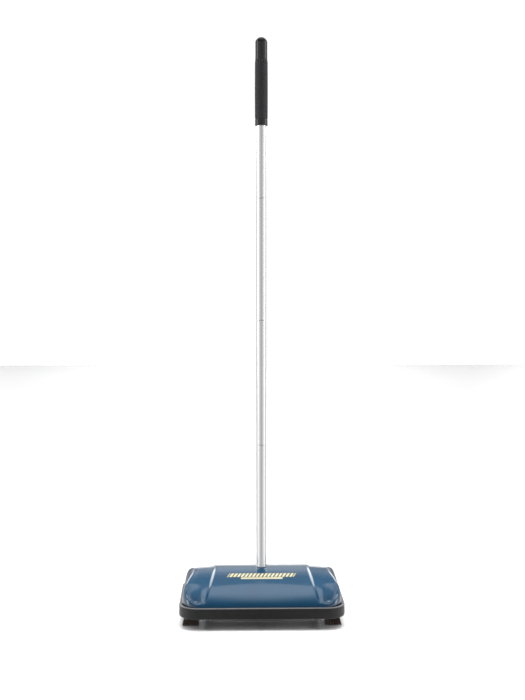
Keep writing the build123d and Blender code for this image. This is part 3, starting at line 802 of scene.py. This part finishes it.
@dataclass
class Cover:
    """Pressed-steel cover: a crowned centre panel, two lower wings, rounded corners and a handle slot."""

    bench: Bench
    half_x: float = 0.0
    half_y: float = 0.0
    crown_z: float = 0.0
    foot_z: float = 0.0
    skirt_z: float = 42.0 * MM
    crown_fall: float = 4.89
    slope_power: float = 0.7307
    slope_height: float = 34.8 * MM
    slope_depth: float = 35.0 * MM
    side_zone: float = 37.5 * MM
    front_zone: float = 42.0 * MM
    shoulder_height: float = 50.0 * MM
    shoulder_power: float = 2.2
    corner_power: float = 2.2
    corner_sag: float = 27.0 * MM
    crease_bow: float = 1.1 * MM
    bow_half: float = 90.0 * MM
    crease_width: float = 0.25 * MM
    shoulder_softness: float = 2.2 * MM
    foot_share: float = 0.35
    sag_share: float = 0.3
    wing_drop: float = 3.0 * MM
    wing_level_from: Point = (10.0 * MM, 55.0 * MM)
    wing_tilt: float = 0.085
    tilt_start: float = 3.0 * MM
    tilt_reach: float = 32.0 * MM
    wing_level: float = 0.75
    step_lead: float = 1.0 * MM
    step_width: float = 6.6 * MM
    scoop: float = 4.2 * MM
    scoop_rise: float = 2.0 * MM
    scoop_start: float = 6.0 * MM
    scoop_end: float = 38.0 * MM
    sheet: float = 0.9 * MM
    overhang: float = 1.0 * MM
    skirt_folds: Point = (0.6 * MM, 0.3 * MM)
    skirt_gap: float = 0.9 * MM
    fine_before: float = 2.0 * MM
    fine_after: float = 12.0 * MM
    columns: tuple[int, int, int, int] = (40, 22, 12, 28)
    rows: tuple[int, int] = (26, 40)
    crowding: float = 1.15
    rib_middle: float = 86.0 * MM
    rib_crease: float = 94.0 * MM
    rib_flare: float = 0.29
    crease_y: float = 60.0 * MM
    slot_half: float = 10.6 * MM
    slot_front: float = -11.0 * MM
    slot_rear: float = 61.0 * MM
    slot_arc: int = 24
    slot_sides: int = 10
    cutter_foot: float = 55.0 * MM
    cutter_height: float = 60.0 * MM
    lip_grow: float = 0.35 * MM
    lip_sink: float = 0.25 * MM
    lip_radius: float = 0.95 * MM

    def __post_init__(self) -> None:
        """Read the cover's outer sizes from the frame."""
        low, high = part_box("cover")
        self.half_x, self.half_y = high.x + self.overhang, high.y
        self.crown_z, self.foot_z = high.z, low.z

    def rib(self, y: float) -> float:
        """Half the width of the centre panel at a distance y from the middle."""
        share = min(1.0, abs(y) / self.crease_y) ** 1.5
        beyond = max(0.0, abs(y) - self.crease_y)
        return self.rib_middle + (self.rib_crease - self.rib_middle) * share + self.rib_flare * beyond

    def crown(self, y: float) -> float:
        """Height of the crowned top at y."""
        return self.crown_z - self.crown_fall * y * y

    def slope(self, inward: float) -> float:
        """Height of the front and back slopes at a distance in from the rim."""
        return self.skirt_z + self.slope_height * (inward / self.slope_depth) ** self.slope_power

    def shoulder(self, inward: float) -> float:
        """Height of the side shoulders at a distance in from the rim."""
        share = min(1.0, inward / self.side_zone)
        power = self.shoulder_power
        return self.skirt_z + self.shoulder_height * (1.0 - (1.0 - share) ** power) ** (1.0 / power)

    def wing_fall(self, across: float, along: float, slack: float) -> tuple[float, float]:
        """How far the wing lies below the panel.

        Args:
            across: Distance from the middle, sideways.
            along: Distance from the middle, front to back.
            slack: 0 at the foot of the slope and 1 well inside it.

        Returns:
            The drop of the top and the drop of the slope.
        """
        rib = self.rib(along)
        step = smooth_step(rib - self.step_lead, rib + self.step_width, across)
        far = smooth_step(rib + self.scoop_start, rib + self.scoop_end, across)
        level = self.wing_level + (1.0 - self.wing_level) * smooth_step(*self.wing_level_from, along)
        tilt = self.wing_tilt * min(self.tilt_reach, max(0.0, across - rib - self.tilt_start))
        return step * self.wing_drop * level + tilt, step * slack * (self.scoop - far * self.scoop_rise)

    def surface(self, column: float, row: float) -> tuple[float, float, float]:
        """A point of the outer face.

        Args:
            column: Place across, as a distance from the middle on an unrounded plan.
            row: Place front to back, in the same way.

        Returns:
            The point's three coordinates.
        """
        along = abs(row)
        start_x, start_y = self.half_x - self.side_zone, self.half_y - self.front_zone
        across = self.follow_rib(abs(column), along, start_x)
        side = max(0.0, (across - start_x) / self.side_zone)
        front = max(0.0, (along - start_y) / self.front_zone)
        reach = min(1.0, max(side, front))
        share = 1.0 if side > 0.0 else 0.0
        if side > 0.0 and front > 0.0:
            power = self.corner_power
            norm = (side**power + front**power) ** (1.0 / power)
            share = (side / norm) ** power
            side, front = side * reach / norm, front * reach / norm
            across = start_x + side * self.side_zone
            along = start_y + front * self.front_zone
        if reach > 0.99999:
            return math.copysign(across, column), math.copysign(along, row), self.skirt_z
        slack = smooth_step(0.0, self.foot_share, 1.0 - reach)
        top_fall, slope_fall = self.wing_fall(across, along, slack)
        bow = self.crease_bow * min(1.0, across / self.bow_half) ** 2 * slack
        sloped = self.slope(self.front_zone * (1.0 - reach)) + bow - slope_fall
        wall = (1.0 - share) * sloped + share * self.shoulder(self.side_zone * (1.0 - reach))
        if share == 0.0 and front <= 0.0:
            wall = self.crown_z
        soft = self.crease_width + self.shoulder_softness * share * smooth_step(0.0, 0.5, share)
        sag = self.corner_sag * side * front * smooth_step(0.0, self.sag_share, 1.0 - reach)
        z = smooth_min(self.crown(along) - top_fall, wall, soft) - sag
        return math.copysign(across, column), math.copysign(along, row), z

    def follow_rib(self, column: float, along: float, start: float) -> float:
        """Bend a grid column so that it runs beside the rib.

        Args:
            column: The column's distance from the middle where the panel is narrowest.
            along: Distance from the middle, front to back.
            start: Where the side zone starts; columns beyond it stay straight.

        Returns:
            The column's distance from the middle at this place.
        """
        rib = self.rib(along)
        if column <= self.rib_middle:
            return column * rib / self.rib_middle
        if column < start:
            return rib + (column - self.rib_middle) * (start - rib) / (start - self.rib_middle)
        return column

    def stations(self, half: float, zone: float, inner: Sequence[float], edge: int) -> list[float]:
        """Grid lines from one edge to the other, close together near the edges.

        Args:
            half: Half the cover's size that way.
            zone: Width of the rounded edge zone.
            inner: Lines from 0 up to the zone, both included.
            edge: Spaces in the zone.

        Returns:
            Distances from the middle.
        """
        turns = [math.pi / 2 * (i + 1) / edge for i in range(edge)]
        outer = [half - zone + zone * math.sin(turn) ** self.crowding for turn in turns]
        side = list(inner) + outer
        return [-value for value in reversed(side[1:])] + side

    def shell(self) -> None:
        """Model the cover's sheet from a grid, with a skirt, a thickness and the handle slot."""
        start_x, start_y = self.half_x - self.side_zone, self.half_y - self.front_zone
        near, far = self.rib_middle - self.fine_before, self.rib_middle + self.fine_after
        panel, fine, wing, edge = self.columns
        inner_x = [near * i / panel for i in range(panel)]
        inner_x += [near + (far - near) * i / fine for i in range(fine)]
        inner_x += [far + (start_x - far) * i / wing for i in range(wing + 1)]
        columns = self.stations(self.half_x, self.side_zone, inner_x, edge)
        middle, end = self.rows
        inner_y = [start_y * i / middle for i in range(middle + 1)]
        rows = self.stations(self.half_y, self.front_zone, inner_y, end)
        Bench.only()
        spaces = len(columns) - 1, len(rows) - 1
        bpy.ops.mesh.primitive_grid_add(x_subdivisions=spaces[0], y_subdivisions=spaces[1], size=0.2)
        obj = bpy.context.object
        places = [self.surface(column, row) for row in rows for column in columns]
        obj.data.vertices.foreach_set("co", [number for place in places for number in place])

        def skirt() -> None:
            """Draw the rim down into the bumper."""
            bpy.ops.mesh.select_mode(type="EDGE")
            bpy.ops.mesh.select_all(action="DESELECT")
            bpy.ops.mesh.select_non_manifold(extend=False)
            for fold in self.skirt_folds:
                Bench.extrude(0.0, 0.0, -fold)
            inward = (1.0 - self.overhang / self.half_x, 1.0, 1.0)
            bpy.ops.transform.resize(value=inward, center_override=(0.0, 0.0, self.skirt_z))
            Bench.extrude(0.0, 0.0, self.foot_z + self.skirt_gap - self.skirt_z)

        Bench.tool(obj, skirt)
        Bench.tidy(obj, 50.0)
        up = sum(face.normal.z * face.area for face in obj.data.polygons)
        if up < 0.0:
            Bench.tool(obj, bpy.ops.mesh.flip_normals)
        Bench.modify(obj, "SOLIDIFY", thickness=self.sheet, offset=-1.0, use_even_offset=True)
        cutter = self.slot_cutter()
        Bench.modify(obj, "BOOLEAN", operation="DIFFERENCE", object=cutter, solver="EXACT")
        bpy.data.objects.remove(cutter)
        Bench.only(obj)
        bpy.ops.object.shade_smooth_by_angle(angle=math.radians(40))
        self.bench.hand_over(obj, "cover_shell", "head", "cover_paint", "cover")

    def slot_outline(self, grow: float) -> list[Point]:
        """The slot's outline, straight sides with round ends.

        Args:
            grow: How far outside the slot's edge.

        Returns:
            Points (x, y) in order.
        """
        radius = self.slot_half + grow
        front, rear = self.slot_front + self.slot_half, self.slot_rear - self.slot_half
        outline = []
        for side, start, end, turn in ((-radius, rear, front, 0.0), (radius, front, rear, math.pi)):
            for index in range(self.slot_arc + 1):
                angle = turn + math.pi * index / self.slot_arc
                outline.append((radius * math.cos(angle), start + radius * math.sin(angle)))
            for index in range(1, self.slot_sides):
                outline.append((side, start + (end - start) * index / self.slot_sides))
        return outline

    def slot_cutter(self) -> bpy.types.Object:
        """A prism with the slot's outline, tall enough to pass through the cover."""
        outline = self.slot_outline(0.0)
        Bench.only()
        bpy.ops.mesh.primitive_circle_add(vertices=len(outline), fill_type="NGON")
        cutter = bpy.context.object
        for vertex, (x, y) in zip(cutter.data.vertices, outline):
            vertex.co = (x, y, self.cutter_foot)

        def raise_up() -> None:
            """Draw the outline up past the crown."""
            Bench.extrude(0.0, 0.0, self.cutter_height)
            bpy.ops.mesh.normals_make_consistent(inside=False)

        Bench.tool(cutter, raise_up)
        return cutter

    def lip(self) -> None:
        """The rolled edge round the handle slot."""
        outline = self.slot_outline(self.lip_grow)
        Bench.only()
        bpy.ops.mesh.primitive_circle_add(vertices=len(outline), fill_type="NOTHING")
        obj = bpy.context.object
        for vertex, (x, y) in zip(obj.data.vertices, outline):
            vertex.co = (x, y, self.surface(x, y)[2] - self.lip_sink)
        bpy.ops.object.convert(target="CURVE")
        obj = bpy.context.object
        obj.data.bevel_depth = self.lip_radius
        obj.data.bevel_resolution = 3
        bpy.ops.object.convert(target="MESH")
        obj = bpy.context.object
        Bench.tidy(obj, 80.0)
        self.bench.hand_over(obj, "slot_lip", "head", "cover_paint")

    def build(self) -> None:
        """Build the cover's pieces."""
        self.shell()
        self.lip()


# ---- Bumper ----


@dataclass
class Bumper:
    """Moulded rubber ring round the head, with a ledge on top that meets the cover."""

    bench: Bench
    corner: float = 36.0 * MM
    ledge: float = 5.6 * MM
    floor: float = 24.0 * MM
    lip_width: float = 10.0 * MM
    corner_segments: int = 14
    edge_round: float = 2.1 * MM
    near: float = 0.1 * MM
    centre: float = 1.0 * MM
    low: Vector = field(default_factory=lambda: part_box("bumper")[0])
    high: Vector = field(default_factory=lambda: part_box("bumper")[1])

    def build(self) -> None:
        """Model the ring from a plane: round its corners, raise it, sink the middle and open the bottom."""
        Bench.only()
        size = self.high - self.low
        bpy.ops.mesh.primitive_plane_add(size=1.0, location=(0.0, 0.0, self.low.z))
        obj = bpy.context.object
        obj.scale = (size.x, size.y, 1.0)
        Bench.settle(obj)

        def raise_wall() -> None:
            """Round the plan's corners and draw the wall up."""
            parts = self.corner_segments
            bpy.ops.mesh.bevel(affect="VERTICES", offset=self.corner, offset_type="OFFSET", segments=parts)
            bpy.ops.mesh.select_all(action="SELECT")
            Bench.extrude(0.0, 0.0, size.z)

        Bench.tool(obj, raise_wall)
        Bench.pick_level(obj, lambda place: place.z > self.high.z - self.near)
        bpy.ops.mesh.inset(thickness=self.ledge)
        Bench.extrude(0.0, 0.0, self.floor - self.high.z)
        bpy.ops.mesh.inset(thickness=self.lip_width - self.ledge)
        bpy.ops.object.mode_set(mode="OBJECT")
        Bench.pick_level(obj, lambda place: place.z < self.low.z + self.near)
        bpy.ops.mesh.inset(thickness=self.lip_width)
        bpy.ops.object.mode_set(mode="OBJECT")
        Bench.pick_level(obj, lambda place: max(abs(place.x), abs(place.y)) < self.centre)
        bpy.ops.mesh.bridge_edge_loops()
        bpy.ops.object.mode_set(mode="OBJECT")
        Bench.tidy(obj)
        limit = math.radians(60)
        Bench.modify(obj, "BEVEL", width=self.edge_round, segments=5, limit_method="ANGLE", angle_limit=limit)
        Bench.tidy(obj, 40.0)
        self.bench.hand_over(obj, "bumper_ring", "head", "bumper_rubber", "bumper")


# ---- Handle ----


@dataclass
class Handle:
    """Four bright tubes that meet end to end, and the grip at the top."""

    bench: Bench
    wall: float = 0.9 * MM
    end_round: float = 0.35 * MM
    end_loop: float = 1.0 * MM
    groove: float = 7.0 * MM
    groove_half: float = 0.9 * MM
    groove_loop: float = 1.5 * MM
    groove_depth: float = 0.22 * MM
    facets: int = 96
    bulge: float = 0.25 * MM
    foam_stations: int = 24
    foam_tuck: float = 0.5 * MM
    foam_edge: float = 1.2 * MM
    collar_rounds: tuple[float, float, float] = (0.4 * MM, 1.3 * MM, 0.5 * MM)
    collar_draft: float = 0.1 * MM
    collar_loops: Point = (2.6 * MM, 1.2 * MM)
    cap_chamfer: Point = (0.3 * MM, 0.4 * MM)
    cap_loop: float = 1.2 * MM
    dome: float = 10.5 * MM
    dome_arcs: int = 18
    dome_fullness: float = 0.92
    plug_depth: float = 23.5 * MM
    clearance: float = 0.05 * MM

    def bore(self) -> float:
        """Radius of the hole that fits over the top tube."""
        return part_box("handle_tube_4")[1].x + self.clearance

    def tubes(self) -> None:
        """Turn each tube section, with rounded ends and a fine rolled groove above each joint."""
        for number in range(1, 5):
            node = f"handle_tube_{number}"
            low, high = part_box(node)
            radius = (high.x - low.x) / 2
            inner = radius - self.wall
            height = high.z - low.z
            corners = [
                (inner, 0.0, 0.0),
                (radius, 0.0, self.end_round),
                (radius, self.end_loop, 0.0),
                (radius, self.groove - self.groove_loop, 0.0),
                (radius, self.groove - self.groove_half, 0.0),
                (radius - self.groove_depth, self.groove, 0.0),
                (radius, self.groove + self.groove_half, 0.0),
                (radius, self.groove + self.groove_loop, 0.0),
                (radius, height - self.end_loop, 0.0),
                (radius, height, self.end_round),
                (inner, height, 0.0),
            ]
            obj = self.bench.turned(Bench.rounded(corners, 3), (0.0, 0.0, low.z), self.facets)
            self.bench.hand_over(obj, f"tube_section_{number}", "handle", "handle_tube", node)

    def foam(self) -> None:
        """Turn the foam sleeve, a little fuller in the middle."""
        low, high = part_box("grip_foam")
        radius = (high.x - low.x) / 2 - self.bulge
        height = high.z - low.z
        bore = self.bore()
        outline = [(bore, 0.0)]
        for step in range(self.foam_stations + 1):
            share = step / self.foam_stations
            edge = min(share, 1.0 - share) * height
            tuck = self.foam_tuck * (1.0 - min(1.0, edge / self.foam_edge) ** 0.5)
            outline.append((radius + self.bulge * math.sin(math.pi * share) - tuck, share * height))
        outline.append((bore, height))
        obj = self.bench.turned(outline, (0.0, 0.0, low.z), self.facets)
        self.bench.hand_over(obj, "grip_sleeve", "handle", "grip_foam", "grip_foam")

    def collar(self) -> None:
        """Turn the glossy collar below the foam."""
        low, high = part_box("grip_collar")
        radius, height = high.x, high.z - low.z
        bore = self.bore()
        corners = [
            (bore, 0.0, self.collar_rounds[0]),
            (radius - self.collar_draft, 0.0, self.collar_rounds[1]),
            (radius, self.collar_loops[0], 0.0),
            (radius, height - self.collar_loops[1], 0.0),
            (radius, height, self.collar_rounds[2]),
            (bore, height, 0.0),
        ]
        obj = self.bench.turned(Bench.rounded(corners), (0.0, 0.0, low.z), self.facets)
        self.bench.hand_over(obj, "grip_ring", "handle", "grip_gloss", "grip_collar")

    def cap(self) -> None:
        """Turn the glossy cap with its domed top."""
        low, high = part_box("grip_cap")
        radius, height = high.x, high.z - low.z
        bore = self.bore()
        inside = height - self.plug_depth
        outline = [(0.0, inside), (bore, inside), (bore, 0.0)]
        outline += [(radius - self.cap_chamfer[0], 0.0), (radius, self.cap_chamfer[1])]
        outline.append((radius, self.cap_loop))
        for step in range(self.dome_arcs):
            angle = math.pi / 2 * step / self.dome_arcs
            across = radius * math.cos(angle) ** self.dome_fullness
            outline.append((across, height - self.dome + self.dome * math.sin(angle)))
        outline.append((0.0, height))
        obj = self.bench.turned(outline, (0.0, 0.0, low.z), self.facets, loop=False)
        self.bench.hand_over(obj, "grip_dome", "handle", "grip_gloss", "grip_cap")

    def build(self) -> None:
        """Build the handle's pieces."""
        self.tubes()
        self.foam()
        self.collar()
        self.cap()


# ---- Corner brushes ----


@dataclass
class CornerBrush:
    """One corner brush: rows of tufts, each a bundle of tapered strands that fan out a little."""

    bench: Bench
    place: str
    seed: int
    tufts_x: int = 6
    tufts_y: int = 5
    strands: int = 26
    strand_radius: float = 0.24 * MM
    splay: float = 1.5 * MM
    flare: float = 1.6 * MM
    root_inset: float = 3.4 * MM
    fan: float = 2.6 * MM
    tuft_radius: float = 1.6 * MM
    uneven: float = 1.2 * MM
    hidden: float = 0.4 * MM

    def strand(self) -> bpy.types.Object:
        """Model one strand once: a thin tapered stick of unit height with a bend point half way."""
        Bench.only()
        tip, root = self.strand_radius * 0.75, self.strand_radius
        middle = (0, 0, 0.5)
        bpy.ops.mesh.primitive_cone_add(vertices=4, radius1=tip, radius2=root, depth=1.0, location=middle)
        obj = bpy.context.object
        Bench.settle(obj)

        def divide() -> None:
            """Cut the stick in half across."""
            bpy.ops.mesh.bisect(plane_co=(0.0, 0.0, 0.45), plane_no=(0.0, 0.0, 1.0))

        Bench.tool(obj, divide)
        return obj

    def build(self) -> None:
        """Copy the strand into every tuft."""
        node = f"corner_bristles_{self.place}"
        low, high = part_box(node)
        draw = random.Random(self.seed)
        source = self.strand()
        points = [vertex.co.copy() for vertex in source.data.vertices]
        faces = [tuple(face.vertices) for face in source.data.polygons]
        bpy.data.objects.remove(source)
        root_low = Vector((low.x + self.root_inset, low.y + self.root_inset, 0.0))
        root_high = Vector((high.x - self.root_inset, high.y - self.root_inset, 0.0))
        middle = (root_low + root_high) / 2
        span = (root_high - root_low) / 2
        all_points: list[Vector] = []
        all_faces: list[tuple[int, ...]] = []
        for column in range(self.tufts_x):
            for line in range(self.tufts_y):
                at_x = root_low.x + 2 * span.x * column / (self.tufts_x - 1)
                at_y = root_low.y + 2 * span.y * line / (self.tufts_y - 1)
                at = Vector((at_x, at_y, 0.0))
                fan = Vector(((at.x - middle.x) / span.x, (at.y - middle.y) / span.y, 0.0)) * self.fan
                for _ in range(self.strands):
                    angle, ring = draw.uniform(0, math.tau), math.sqrt(draw.random())
                    spread = Vector((math.cos(angle), math.sin(angle), 0.0)) * ring
                    foot = at + fan + spread * (self.tuft_radius + self.splay * draw.uniform(0.3, 1.0))
                    root = at + spread * self.tuft_radius
                    foot.x = min(high.x + self.flare, max(low.x - self.flare, foot.x))
                    foot.y = min(high.y + self.flare, max(low.y - self.flare, foot.y))
                    short = draw.uniform(0.0, 1.0) ** 2 * self.uneven
                    top = high.z - self.hidden
                    base = len(all_points)
                    twist = Matrix.Rotation(draw.uniform(0, math.tau), 3, "Z")
                    for point in points:
                        share = point.z
                        centre = foot.lerp(root, share**0.8)
                        flat = twist @ Vector((point.x, point.y, 0.0))
                        height = short + share * (top - short)
                        all_points.append(Vector((centre.x + flat.x, centre.y + flat.y, height)))
                    all_faces.extend(tuple(base + i for i in face) for face in faces)
        mesh = bpy.data.meshes.new(node)
        mesh.from_pydata(all_points, [], all_faces)
        obj = bpy.data.objects.new(node, mesh)
        bpy.context.scene.collection.objects.link(obj)
        Bench.only(obj)
        bpy.ops.object.shade_smooth_by_angle(angle=math.radians(60))
        self.bench.hand_over(obj, f"tufts_{self.place}", "head", "bristle", node)


# ---- Wheels ----


@dataclass
class Wheel:
    """A rubber tyre with two tread grooves."""

    bench: Bench
    place: str
    rim: float = 17.0 * MM
    groove: float = 0.9 * MM
    groove_share: float = 0.32
    groove_foot: float = 0.45 * MM
    groove_mouth: float = 0.7 * MM
    groove_round: float = 0.15 * MM
    shoulder: float = 1.6 * MM
    inner_round: float = 0.3 * MM
    facets: int = 72

    def build(self) -> None:
        """Turn the tyre about its axle."""
        node = f"wheel_tyre_{self.place}"
        low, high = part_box(node)
        centre = (low + high) / 2
        radius, half = (high.z - low.z) / 2, (high.x - low.x) / 2
        corners = [(self.rim, -half, self.inner_round), (radius, -half, self.shoulder)]
        for middle in (-self.groove_share * half, self.groove_share * half):
            corners.append((radius, middle - self.groove_mouth, self.groove_round))
            corners.append((radius - self.groove, middle - self.groove_foot, 0.0))
            corners.append((radius - self.groove, middle + self.groove_foot, 0.0))
            corners.append((radius, middle + self.groove_mouth, self.groove_round))
        corners.extend([(radius, half, self.shoulder), (self.rim, half, self.inner_round)])
        obj = self.bench.turned(Bench.rounded(corners, 3), centre, self.facets, Axis.ACROSS)
        self.bench.hand_over(obj, f"tyre_{self.place}", f"wheel_{self.place}", "wheel_tyre", node)


# ---- Studio ----


@dataclass
class Studio:
    """A plain pale floor, soft light from above and the sides, and the camera."""

    distance: float = 2.1187
    eye_height: float = 0.6418
    tilt_degrees: float = 0.33
    focal_share: float = 1.5642857142857143
    shift: float = -0.08571428571428572
    sideways: float = -0.043
    turn_degrees: float = -1.225
    backdrop: float = 1.05
    strip_level: float = 3.2
    side_box_level: float = 2.7
    wing_dim: float = 0.45
    corner_dim: float = 0.9
    floor_levels: tuple[Point, ...] = (
        (0, 0.48), (22, 0.6), (48, 0.9), (72, 1.2), (108, 0.9), (130, 0.6), (158, 0.2), (180, 0.2)
    )
    arc_levels: tuple[Point, ...] = (
        (0, 0.5), (15, 0.5), (22, 0.7), (40, 1.05), (60, 0.55), (78.5, 0.42), (82.5, 1.5),
        (98, 1.5), (106, 0.95), (113, 0.45), (121, 0.1), (165, 0.08), (180, 0.4)
    )
    ring_levels: tuple[Point, ...] = (
        (0, 0.48), (22, 0.6), (48, 0.85), (72, 1.1), (90, 1.05), (108, 0.85), (130, 0.65), (155, 0.4),
        (180, 0.25)
    )
    lights: tuple[tuple, ...] = (
        ("sky_soft", (0.0, 0.0, 4.5), 15.0, 800.0, (0.0, 0.0, 0.0), 90.0),
        ("top_soft", (0.0, -0.35, 2.4), 1.2, 35.0, (0.0, -0.35, 0.0)),
        ("left_soft", (-2.2, -0.4, 1.9), 1.0, 16.0, (0.0, 0.0, 0.6)),
        ("right_soft", (2.2, -0.4, 1.9), 1.0, 16.0, (0.0, 0.0, 0.6)),
    )

    def camera(self) -> None:
        """Make the camera, which looks at the front from a little above the middle of the handle."""
        data = bpy.data.cameras.new("view")
        data.sensor_width = 36.0
        data.lens = self.focal_share * data.sensor_width
        data.shift_y = self.shift
        data.clip_start, data.clip_end = 0.05, 60.0
        camera = bpy.data.objects.new("view", data)
        camera.location = (self.sideways, -self.distance, self.eye_height)
        camera.rotation_euler = (math.radians(90.0 - self.tilt_degrees), 0.0, math.radians(self.turn_degrees))
        bpy.context.scene.collection.objects.link(camera)
        bpy.context.scene.camera = camera

    def floor(self) -> None:
        """Make the pale floor with a faint gloss."""
        Bench.only()
        bpy.ops.mesh.primitive_plane_add(size=13.0, location=(0.0, 0.0, 0.0))
        obj = bpy.context.object
        obj.name = "studio_floor"
        shader = Shader("studio_floor")
        cloud = shader.noise(0.4, 2.0)
        colour = shader.mix(cloud, (0.86, 0.86, 0.865), (0.88, 0.88, 0.885))
        obj.data.materials.append(shader.dress(Base_Color=colour, Roughness=0.24, IOR=1.45))
        glossy = shader.node("ShaderNodeLightPath").outputs["Is Glossy Ray"]
        x, y, _ = shader.place()
        level = shader.ramp(x.size().apply("ARCTAN2", y * -1.0), self.floor_levels)
        dim = shader.node("ShaderNodeEmission", {}, {"Color": (1.0, 1.0, 1.0), "Strength": level})
        sockets = {0: glossy, 1: shader.surface.outputs[0], 2: dim.outputs[0]}
        choose = shader.node("ShaderNodeMixShader", {}, sockets)
        shader.tree.links.new(choose.outputs[0], shader.output.inputs[0])

    def light(
        self,
        name: str,
        place: Sequence[float],
        size: float,
        power: float,
        target: Sequence[float],
        spread: float = 180.0,
    ) -> None:
        """Add one soft light that shows in no reflection.

        Args:
            name: Its name.
            place: Where it is.
            size: Its side, in metres.
            power: Its power, in watts.
            target: The point that it faces.
            spread: The full angle of its beam, in degrees.
        """
        data = bpy.data.lights.new(name, "AREA")
        data.shape, data.size, data.energy = "SQUARE", size, power
        data.spread = math.radians(spread)
        obj = bpy.data.objects.new(name, data)
        obj.location = place
        obj.rotation_euler = (Vector(target) - Vector(place)).to_track_quat("-Z", "Y").to_euler()
        obj.visible_glossy = False
        bpy.context.scene.collection.objects.link(obj)

    def surroundings(self) -> None:
        """The room as the gloss sees it: a bright sweep, a softbox overhead, strip lights and a dim front."""
        world = bpy.data.worlds.new("studio")
        bpy.context.scene.world = world
        world.use_nodes = True
        room = NodeMaker(world.node_tree)
        output = room.node("ShaderNodeOutputWorld")
        coordinates = room.node("ShaderNodeTexCoord").outputs["Generated"]
        x, y, z = room.split(coordinates)
        over = room.ramp(z.apply("ARCTAN2", y), self.arc_levels)
        ring = room.ramp(x.size().apply("ARCTAN2", y * -1.0), self.ring_levels)
        # A step or band is a range of a direction's components: x to a side, y to the back, z up.
        low = (z + y * 0.12).step(0.25, 0.15)
        flank = x.size().step(0.55, 0.85)
        wall = z.step(0.75, 0.25) * 0.6 + 0.25
        box = x.size().step(0.2, 0.33) * x.size().step(0.7, 0.56) * z.step(0.07, 0.2)
        box = box * y.step(0.985, 0.955) * (y.step(0.3, 0.6) * self.side_box_level + 0.25)
        wing = 1.0 - x.size().step(0.06, 0.12) * y.step(0.2, 0.5) * z.step(0.16, 0.2) * self.wing_dim
        corner = 1.0 - x.size().step(0.26, 0.42) * y.step(0.62, 0.4) * z.step(0.4, 0.55) * self.corner_dim
        over = (over * wing * (1.0 - flank) + wall * flank) * corner + box
        strip = (y + 0.14).size().step(0.15, 0.09) * z.size().step(0.62, 0.48) * self.strip_level
        sweep = x.size().step(0.22, 0.1) * z.step(0.15, 0.12) * y.step(0.0, 0.5)
        gloss = over * (1.0 - low) + ring * low + strip + sweep
        diffuse = (z.step(0.1, 0.9) * 0.5 + 0.04) * (y.step(-0.8, 0.2) * 0.4 + 0.6)
        rays = room.node("ShaderNodeLightPath")
        glossy = Sum(room, rays.outputs["Is Glossy Ray"])
        seen = Sum(room, rays.outputs["Is Camera Ray"])
        level = diffuse * (1.0 - glossy) + gloss * glossy
        level = level * (1.0 - seen) + seen * self.backdrop
        white = room.node("ShaderNodeBackground", {}, {"Color": (1.0, 1.0, 1.0), "Strength": level})
        room.tree.links.new(white.outputs[0], output.inputs[0])

    def build(self) -> None:
        """Set the studio up."""
        bpy.context.scene.view_settings.view_transform = "Standard"
        self.camera()
        self.floor()
        self.surroundings()
        for light in self.lights:
            self.light(*light)


def dress_nodes(paints: Paintbox) -> None:
    """Give every CAD node the finish of its slot.

    Args:
        paints: The finishes.
    """
    for part in frame["record"]["subparts"]:
        paints.paint(frame["nodes"][part["node"]], part["material_slot"])


def main() -> None:
    """Build every sub-assembly in order."""
    logging.basicConfig(level=logging.INFO, format="%(name)s: %(message)s")
    paints = Paintbox(FINISHES)
    dress_nodes(paints)
    bench = Bench(paints)
    Studio().build()
    Cover(bench).build()
    Bumper(bench).build()
    Handle(bench).build()
    for seed, place in enumerate(("front_left", "front_right", "rear_left", "rear_right"), FIRST_SEED):
        CornerBrush(bench, place, seed).build()
        Wheel(bench, place).build()


if __name__ == "__main__":
    main()
